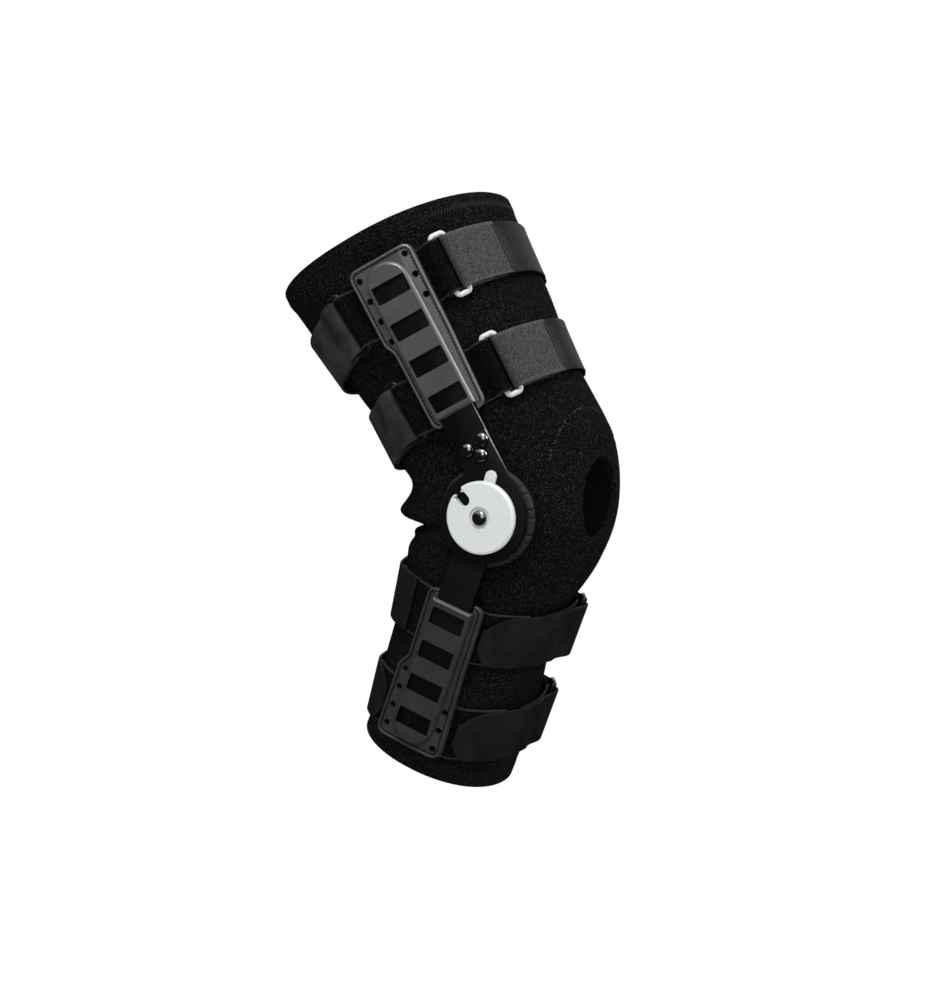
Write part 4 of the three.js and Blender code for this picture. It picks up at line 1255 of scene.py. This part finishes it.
def splint_matrix(splint):
    turn = Matrix.Rotation(math.radians(splint["turn"]), 4, "Y")
    seat = (splint["offset"] * MM, -splint["plate"] * MM - PLATE_THICK / 2, splint["bend"] * MM)
    lean = Matrix.Rotation(math.radians(splint["lean"]), 4, "X")
    facing = Matrix.Rotation(math.radians(splint["facing"]), 4, "Z")
    return turn @ Matrix.Translation(seat) @ lean @ facing @ HINGE_FACE


def shell_corners(splint, inset=0.0):
    """Corners of the shell's outline, anticlockwise, moved inward by the inset."""
    rows = [(along - splint["bend"], back, front) for along, back, front in splint["outline"]]
    if splint["flip"] > 0:
        one = [(front, along) for along, _, front in rows]
        other = [(back, along) for along, back, _ in rows]
    else:
        one = [(-back, along) for along, back, _ in rows]
        other = [(-front, along) for along, _, front in rows]
    corners = np.array(one + other[::-1]) * MM
    if not inset:
        return corners
    moved = []
    for before, corner, after in zip(np.roll(corners, 1, 0), corners, np.roll(corners, -1, 0)):
        first, second = unit(corner - before), unit(after - corner)
        lines = np.array([(-first[1], first[0]), (-second[1], second[0])])
        moved.append(corner + np.linalg.solve(lines, [inset, inset]))
    return np.array(moved)


def panel_shift(splint, points):
    """How far the top of the panel lies over its flat form: flanges slope down, the far end rises."""
    past_boss = np.maximum(0, np.abs(points[:, 0]) - BOSS_HALF)
    far = splint["outline"][-1][0] - splint["bend"]
    return PANEL_RISE * ease(points[:, 1], 0.45 * far * MM, far * MM) - past_boss * FLANGE_SLOPE


# %% Panel and housing
def shell_panel(splint):
    outline = rounded_outline(shell_corners(splint), SHELL_CORNER)
    panel = flat_face("panel", outline, UNDERSIDE)
    start = PANEL_TOP - BEAD_PROFILE[:, 1].sum() * MM
    raised(panel, start - UNDERSIDE, BEAD_PROFILE * MM)
    for side in (-BOSS_HALF, BOSS_HALF):
        edit(panel, lambda: bpy.ops.mesh.bisect(plane_co=(side, 0, 0), plane_no=(1, 0, 0)))
    for along in np.linspace(20, 120, 9) * MM:
        edit(panel, lambda: bpy.ops.mesh.bisect(plane_co=(0, along, 0), plane_no=(0, 1, 0)))
    points = points_of(panel)
    on_top = points[:, 2] > (UNDERSIDE + PANEL_TOP) / 2
    slope = np.maximum(0, np.abs(points[:, 0]) - BOSS_HALF) * FLANGE_SLOPE
    points[:, 2] += np.where(on_top, panel_shift(splint, points), -slope)
    set_points(panel, points)
    return panel


def shell_boss(splint):
    near = (splint["boss_start"] - splint["bend"]) * MM
    middle = (splint["boss_end"] - splint["bend"]) * MM - BOSS_HALF
    arc = arc_points((0, middle), BOSS_HALF, np.linspace(0, math.pi, 25))
    outline = np.concatenate([[(-BOSS_HALF, near), (BOSS_HALF, near)], arc])
    boss = flat_face("boss", outline, PANEL_TOP - BOSS_FOOT)
    start = BOSS_TOP - BOSS_PROFILE[:, 1].sum() * MM
    return raised(boss, start - (PANEL_TOP - BOSS_FOOT), BOSS_PROFILE * MM)


# %% Windows, holes and the way for the bar
def shell_cutters(splint, with_holes):
    """Prisms for the windows and holes, the bar's tunnel and the open mouth before the housing."""
    bend = splint["bend"]
    first, pitch = splint["windows"]
    cutters = []
    for i in range(4):
        middle = (first + i * pitch - bend) * MM
        half_wide, half_tall = WINDOW_HALF
        corners = [(half_wide, middle - half_tall), (half_wide, middle + half_tall)]
        corners += [(-half_wide, middle + half_tall), (-half_wide, middle - half_tall)]
        window = flat_face("window", rounded_outline(corners, WINDOW_CORNER, 4))
        cutters.append(raised(window, WINDOW_DEPTH))
    near = splint["outline"][0][0] - bend - 2
    for name, half, far, low, tall in [
        ("tunnel", TUNNEL_HALF, splint["bar_end"] - bend + 0.5, -1.5, 3),
        ("mouth", MOUTH_HALF, splint["boss_start"] - bend, -12, 24),
    ]:
        corners = np.array([(half, near), (half, far), (-half, far), (-half, near)]) * MM
        cutters.append(raised(flat_face(name, corners, low * MM), tall * MM))
    for x, start, step, count in splint["holes"] if with_holes else []:
        for i in range(count):
            place = (splint["flip"] * x * MM, (start + i * step - bend) * MM, 0)
            hole = {"vertices": 20, "radius": HOLE_RADIUS, "depth": HOLE_DEPTH}
            bpy.ops.mesh.primitive_cylinder_add(**hole, location=place)
            cutters.append(settled())
    return cutters


# %% Build the shells and sew their grooves
def seam_points(splint, step=2.5 * MM):
    """Points along the groove inside the bead, still flat."""
    path = rounded_outline(shell_corners(splint, SEAM_INSET), SHELL_CORNER - SEAM_INSET, 5)
    path = np.concatenate([path, path[:1]])
    lengths = lengths_along(path)
    spots = at_lengths(np.arange(0, lengths[-1], step), lengths, path)
    return np.column_stack([spots, SEAM_HEIGHT + panel_shift(splint, spots)])


def stood_up(points, matrix):
    return points @ np.array(matrix.to_3x3()).T + np.array(matrix.translation)


# The lower shell takes the darker copy of the plastic, painted shade.
SHELL_PAINTS = {"upper": shell_plastic, "lower": shell_painted_shade}
SHELL_EDGE = 0.22 * MM
STITCH_GAP = 0.15
for place, splint in SPLINTS.items():
    matrix = splint_matrix(splint)
    for side in ("outer", "inner"):
        shell = join_cut(shell_panel(splint), "UNION", shell_boss(splint))
        join_cut(shell, "DIFFERENCE", *shell_cutters(splint, side == "outer"))
        edit(shell, merge)
        keep_flat(soften(shell, SHELL_EDGE))
        shell.data.transform(matrix)
        if side == "inner":
            to_inner_side(shell)
        node = f"{side}_{place}_shell"
        hand_over(named(shell, "moulded_" + node), "shell", node, paint=SHELL_PAINTS[place])
        print(node, len(shell.data.polygons), "faces")
    groove = seam_points(splint)
    spots = stood_up(groove, matrix)
    trim = STITCH_GAP * np.diff(spots, axis=0)
    beside = np.abs(groove[:-1, 0]) > BOSS_HALF + 0.6 * MM
    beyond = groove[:-1, 1] > (splint["boss_end"] - splint["bend"]) * MM
    shown = beside | beyond
    outs = np.tile(matrix.to_3x3() @ Vector((0, 0, 1)), (shown.sum(), 1))
    stitches = (spots[:-1] + trim)[shown], (spots[1:] - trim)[shown], outs
    sew(f"groove_seam_{place}", *stitches, SEAM_RADIUS, black_thread, "shell")

# %% [markdown]
# ## The steel bars
# The bars keep the model's own form. Their edges get a small bevel, and on the upper outer bar the cut edge
# is bright metal that mirrors the lamps, with its colour fading to dark down toward the hinge: a painted
# fade of the edge's highlight.

# %% Bars
HIGHLIGHT_FROM = -4 * MM
for node in ("outer_upper_arm", "outer_lower_arm", "inner_upper_arm", "inner_lower_arm"):
    bar = copy_of(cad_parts[node], "steel_" + node)
    edit(bar, merge, lambda: bpy.ops.mesh.dissolve_limited(angle_limit=math.radians(0.5)))
    hand_over(bar, "black_steel", node, paint=coated_steel)
    bar.data.materials.append(highlight_steel)
    # The upper outer bar's side faces take the bright metal; its fade down the bar is painted highlight.
    for face in bar.data.polygons:
        highlight_edge = abs(face.normal.y) < 0.5 and face.center.z > HIGHLIGHT_FROM
        face.material_index = int(node == "outer_upper_arm" and highlight_edge)
    soften(bar, 0.3 * MM, degrees=40)
print("bars done")

# %% [markdown]
# ## Dial, rivets and pads
# Rivets start from a sphere on the hinge axis, dial and pads from a flat outline. The dial has a bevelled
# rim, a recess for its rivet, a sight notch with two small teeth at its mouth and a thumb tab. The pads are
# cut round the rim.

# %% Domes
PLATE_REST = 66.3 * MM


def dome(name, radius, base, rise, edge):
    """A closed dome on a short straight edge, standing outward on its base."""
    bpy.ops.mesh.primitive_uv_sphere_add(segments=40, ring_count=20, radius=1)
    cap = named(bpy.context.object, name)
    points = points_of(cap)
    upper = points[:, 2] > -0.01
    flat = points[:, :2] * radius
    set_points(cap, np.column_stack([flat, np.where(upper, base + edge + points[:, 2] * rise, base)]))
    edit(cap, face_out)
    return smooth(cap, 50)


ARM_RIVETS = [(23.3, 46.6), (10.6, 44.6), (18.1, 37.4)]
ARM_RIVET = (4.9 * MM, PLATE_REST, 3.3 * MM, 0.3 * MM)
HINGE_CAP = (26 * MM, PLATE_REST, 5 * MM, 0.3 * MM)
thigh_turn = Matrix.Rotation(math.radians(UPPER_TURN), 4, "Y")
for i, (x, along) in enumerate(ARM_RIVETS):
    rivet = dome(f"dome_arm_rivet_{i + 1}", *ARM_RIVET)
    rivet.data.transform(thigh_turn @ HINGE_FACE @ Matrix.Translation((x * MM, along * MM, 0)))
    hand_over(rivet, "gloss_black", f"arm_rivet_{i + 1}", paint=gloss_black)
print("rivets on the upper bar:", len(ARM_RIVETS))
cap = dome("dome_inner_hinge_cap", *HINGE_CAP)
cap.data.transform(HINGE_FACE)
hand_over(to_inner_side(cap), "gloss_black", "inner_hinge_cap", paint=ring_black)

# %% Sizes and outlines of the dial
DIAL_BASE = 66.4 * MM
DIAL_RADIUS = 24.5 * MM
DIAL_THICK = 5 * MM
DIAL_PROFILE = np.array([(0.25, 0.5), (0.45, 0.55), (0.8, 0.45)])
RECESS = 7.2 * MM
RECESS_DEPTH = 1 * MM
TAB_ANGLE = math.radians(-14)
NOTCH_ANGLE = math.radians(44.5)
SLOT_HALF = 4 * MM
DIAL_EDGE = 0.45 * MM
BORE = 3.4 * MM
STEM = 3 * MM
THUMB = (20 * MM, 32.5 * MM)
THUMB_RISE = 2 * MM
NOTCH = (12 * MM, 27 * MM)
TOOTH = (1.7 * MM, 1.5 * MM, 3 * MM)
TOOTH_SIDE = 3.1 * MM
TOOTH_UP = 22.2 * MM
TOOTH_EDGE = 0.35 * MM
RIVET_RADIUS = 5.3 * MM
RIVET_RISE = 2.7 * MM
RIVET_EDGE = 0.6 * MM
on_dial = HINGE_FACE @ Matrix.Translation((0, 0, DIAL_BASE))


def ring_outline(radius, count):
    return arc_points((0, 0), radius, 2 * math.pi * np.arange(count) / count)


def slot_outline(foot, tip, rounded_tip):
    """A straight slot along Y with one round end."""
    angles = np.linspace(0, math.pi, 17)
    if rounded_tip:
        arc = arc_points((0, tip - SLOT_HALF), SLOT_HALF, angles)
        return np.concatenate([[(-SLOT_HALF, foot), (SLOT_HALF, foot)], arc])
    arc = arc_points((0, foot + SLOT_HALF), -SLOT_HALF, angles)
    return np.concatenate([arc, [(SLOT_HALF, tip), (-SLOT_HALF, tip)]])


# %% The dial
dial = flat_face("dial_disc", ring_outline(DIAL_RADIUS, 96), 0)
raised(dial, DIAL_THICK - DIAL_PROFILE[:, 1].sum() * MM, DIAL_PROFILE * MM)
thumb = raised(flat_face("thumb", slot_outline(*THUMB, True)), THUMB_RISE)
thumb.data.transform(Matrix.Rotation(TAB_ANGLE, 4, "Z"))
join_cut(dial, "UNION", thumb)
notch = raised(flat_face("notch", slot_outline(*NOTCH, False), -2 * MM), 10 * MM)
notch.data.transform(Matrix.Rotation(NOTCH_ANGLE, 4, "Z"))
recess = raised(flat_face("recess", ring_outline(RECESS, 64), DIAL_THICK - RECESS_DEPTH), 3 * MM)
bore = raised(flat_face("bore", ring_outline(BORE, 32), -2 * MM), 9 * MM)
join_cut(dial, "DIFFERENCE", notch, recess, bore)
edit(dial, merge)
keep_flat(soften(dial, DIAL_EDGE, 3, degrees=45))
dial.data.transform(on_dial)
hand_over(dial, "white_plastic", "dial", body="dial", paint=white_plastic)
print("dial faces:", len(dial.data.polygons))

# %% Teeth at the notch
teeth = []
for side in (-1, 1):
    place = (side * TOOTH_SIDE, TOOTH_UP - 0.6 * side * MM, DIAL_THICK - 1.9 * MM)
    bpy.ops.mesh.primitive_cube_add(size=1, location=place, scale=TOOTH)
    teeth.append(soften(settled(), TOOTH_EDGE, 3))
only(teeth[0])
teeth[1].select_set(True)
bpy.ops.object.join()
tooth_pair = named(bpy.context.object, "dial_notch_teeth")
tooth_pair.data.transform(on_dial @ Matrix.Rotation(NOTCH_ANGLE, 4, "Z"))
hand_over(tooth_pair, "white_plastic", body="dial", paint=white_plastic)
print("faces of the teeth:", len(tooth_pair.data.polygons))

# %% The dial's rivet
head_seat = DIAL_BASE + DIAL_THICK - RECESS_DEPTH + 0.3 * MM
head = dome("dome_dial_rivet", RIVET_RADIUS, head_seat, RIVET_RISE, RIVET_EDGE)
stem = raised(flat_face("stem", ring_outline(STEM, 32), PLATE_REST), head_seat - PLATE_REST + 0.2 * MM)
join_cut(head, "UNION", stem)
smooth(head, 50)
head.data.transform(HINGE_FACE)
hand_over(head, "gloss_black", "dial_rivet", paint=gloss_black)
print("rivet faces:", len(head.data.polygons))

# %% Pads behind the hinges
PAD_BASE = 56.2 * MM
PAD_RADIUS = 34 * MM
PAD_SIDES = 216
PAD_PROFILE = np.array([(0.25, 0.5), (0.5, 0.5), (0.9, 0.3), (2.2, 0.05)])
PAD_THICK = 5 * MM
CUTS_EVERY = 6
CUT_DEPTH = 1.3 * MM
CUT_DROP = 0.7 * MM
for side in ("outer", "inner"):
    pad = flat_face("foam_" + side + "_pad", ring_outline(PAD_RADIUS, PAD_SIDES), PAD_BASE)
    raised(pad, PAD_THICK - PAD_PROFILE[:, 1].sum() * MM, PAD_PROFILE * MM)
    points = points_of(pad)
    radius = np.hypot(points[:, 0], points[:, 1])
    step = np.rint(np.arctan2(points[:, 1], points[:, 0]) / (2 * math.pi) * PAD_SIDES).astype(int)
    at_cut = (step % CUTS_EVERY == 0) & (np.sin(2.1 * step / CUTS_EVERY) > -0.2)
    cut = at_cut & (radius > PAD_RADIUS - 3 * MM) & (points[:, 2] > PAD_BASE + 2 * MM)
    points[cut, :2] *= 1 - CUT_DEPTH / radius[cut, None]
    points[cut, 2] -= CUT_DROP
    set_points(pad, points)
    smooth(pad, 40)
    pad.data.transform(HINGE_FACE)
    if side == "inner":
        to_inner_side(pad)
    hand_over(pad, "pad_foam", side + "_pad", paint=pad_foam)
print("cut points on a pad:", int(cut.sum()))

# %% [markdown]
# ## Camera, light and a white studio
# The camera stands in front of the outer side, a little above the hinge. A key light high in front shapes
# the shells, a large one near the camera lights the dial, and one from the right draws the edges. Weaker
# ones at the left, on top and behind open the shadows. The studio is plain white, and the floor isn't
# mirrored, so that black plastic stays black.

# %% Camera
AZIMUTH = math.radians(25)
ELEVATION = math.radians(4.5)
DISTANCE = 1.5
AIM_RIGHT = -40.5 * MM
AIM_UP = 6.93 * MM
SENSOR = 24
LENS = 51.98
flat_forward = Vector((-math.sin(AZIMUTH), math.cos(AZIMUTH), 0))
forward = flat_forward * math.cos(ELEVATION) - Vector((0, 0, math.sin(ELEVATION)))
right = Vector((math.cos(AZIMUTH), math.sin(AZIMUTH), 0))
above = right.cross(forward)
bpy.ops.object.camera_add()
camera = bpy.context.object
camera.name = "photo_camera"
camera.matrix_world = Matrix.Translation(right * AIM_RIGHT + above * AIM_UP - forward * DISTANCE) @ (
    Matrix((right, above, -forward)).transposed().to_4x4()
)
camera.data.sensor_fit = "VERTICAL"
camera.data.sensor_height = SENSOR
camera.data.lens = LENS
scene.camera = camera
scene.view_settings.view_transform = "Standard"
print("camera at", [round(v, 3) for v in camera.location])


# %% Lights
CEILING_SPREAD = math.radians(120)
CEILING_POWER = 2.4


def soft_light(name, toward, size, power, distance=1.6):
    """A round light that looks at the hinge from a place given by right, up and toward the camera."""
    place = (right * toward[0] + above * toward[1] - forward * toward[2]).normalized() * distance
    bpy.ops.object.light_add(type="AREA", location=place)
    light = bpy.context.object
    light.name = name
    light.rotation_euler = place.to_track_quat("Z", "Y").to_euler()
    light.data.shape = "DISK"
    light.data.size = size
    light.data.energy = power
    return light


# name, (right, up, toward the camera), size in metres, power in watts, distance in metres
soft_light("key_light", (-0.1, 1.25, 1.0), 0.6, 15, 1.25)
soft_light("front_light", (-0.08, 0.22, 1.0), 1.0, 7)
soft_light("side_light", (1.0, 0.45, 0.35), 0.65, 17, 1.4)
soft_light("fill_light", (-1.0, 0.5, 0.8), 1.7, 11).visible_glossy = False
soft_light("top_light", (-0.1, 1.0, 0.05), 0.9, 3, 1.2)
soft_light("back_light", (0.35, 0.5, -1.0), 1.4, 10)
bpy.ops.object.light_add(type="SUN", location=(0, 0, 2))
sun = bpy.context.object
sun.name = "ceiling_light"
sun.data.angle = CEILING_SPREAD
sun.data.energy = CEILING_POWER

# %% Floor and backdrop
FLOOR = -0.55
FLOOR_RADIUS = 1.4
bpy.ops.mesh.primitive_circle_add(
    vertices=96, radius=FLOOR_RADIUS, fill_type="NGON", location=(0, 0, FLOOR)
)
floor = named(bpy.context.object, "studio_floor")
floor_paint, floor_shader, _, _ = start_paint("studio_floor", Roughness=0.9, Specular_IOR_Level=0.0)
floor_shader.inputs["Base Color"].default_value = grey(0.9, (1, 1, 1))
floor.data.materials.append(floor_paint)
floor.visible_glossy = False
studio = bpy.data.worlds.new("studio")
scene.world = studio
studio.use_nodes = True
sky = Wire(studio.node_tree)
seen = sky.node("ShaderNodeLightPath", output="Is Camera Ray")
mirrored = sky.node("ShaderNodeLightPath", output="Is Glossy Ray")
backdrop = studio.node_tree.nodes["Background"]
# White to the camera, a fifth of that as light, and nearly dark in mirrors
feed(backdrop, "Strength", seen * 0.8 + 0.2 - mirrored * 0.16)
backdrop.inputs["Color"].default_value = (1, 1, 1, 1)
print("studio ready")
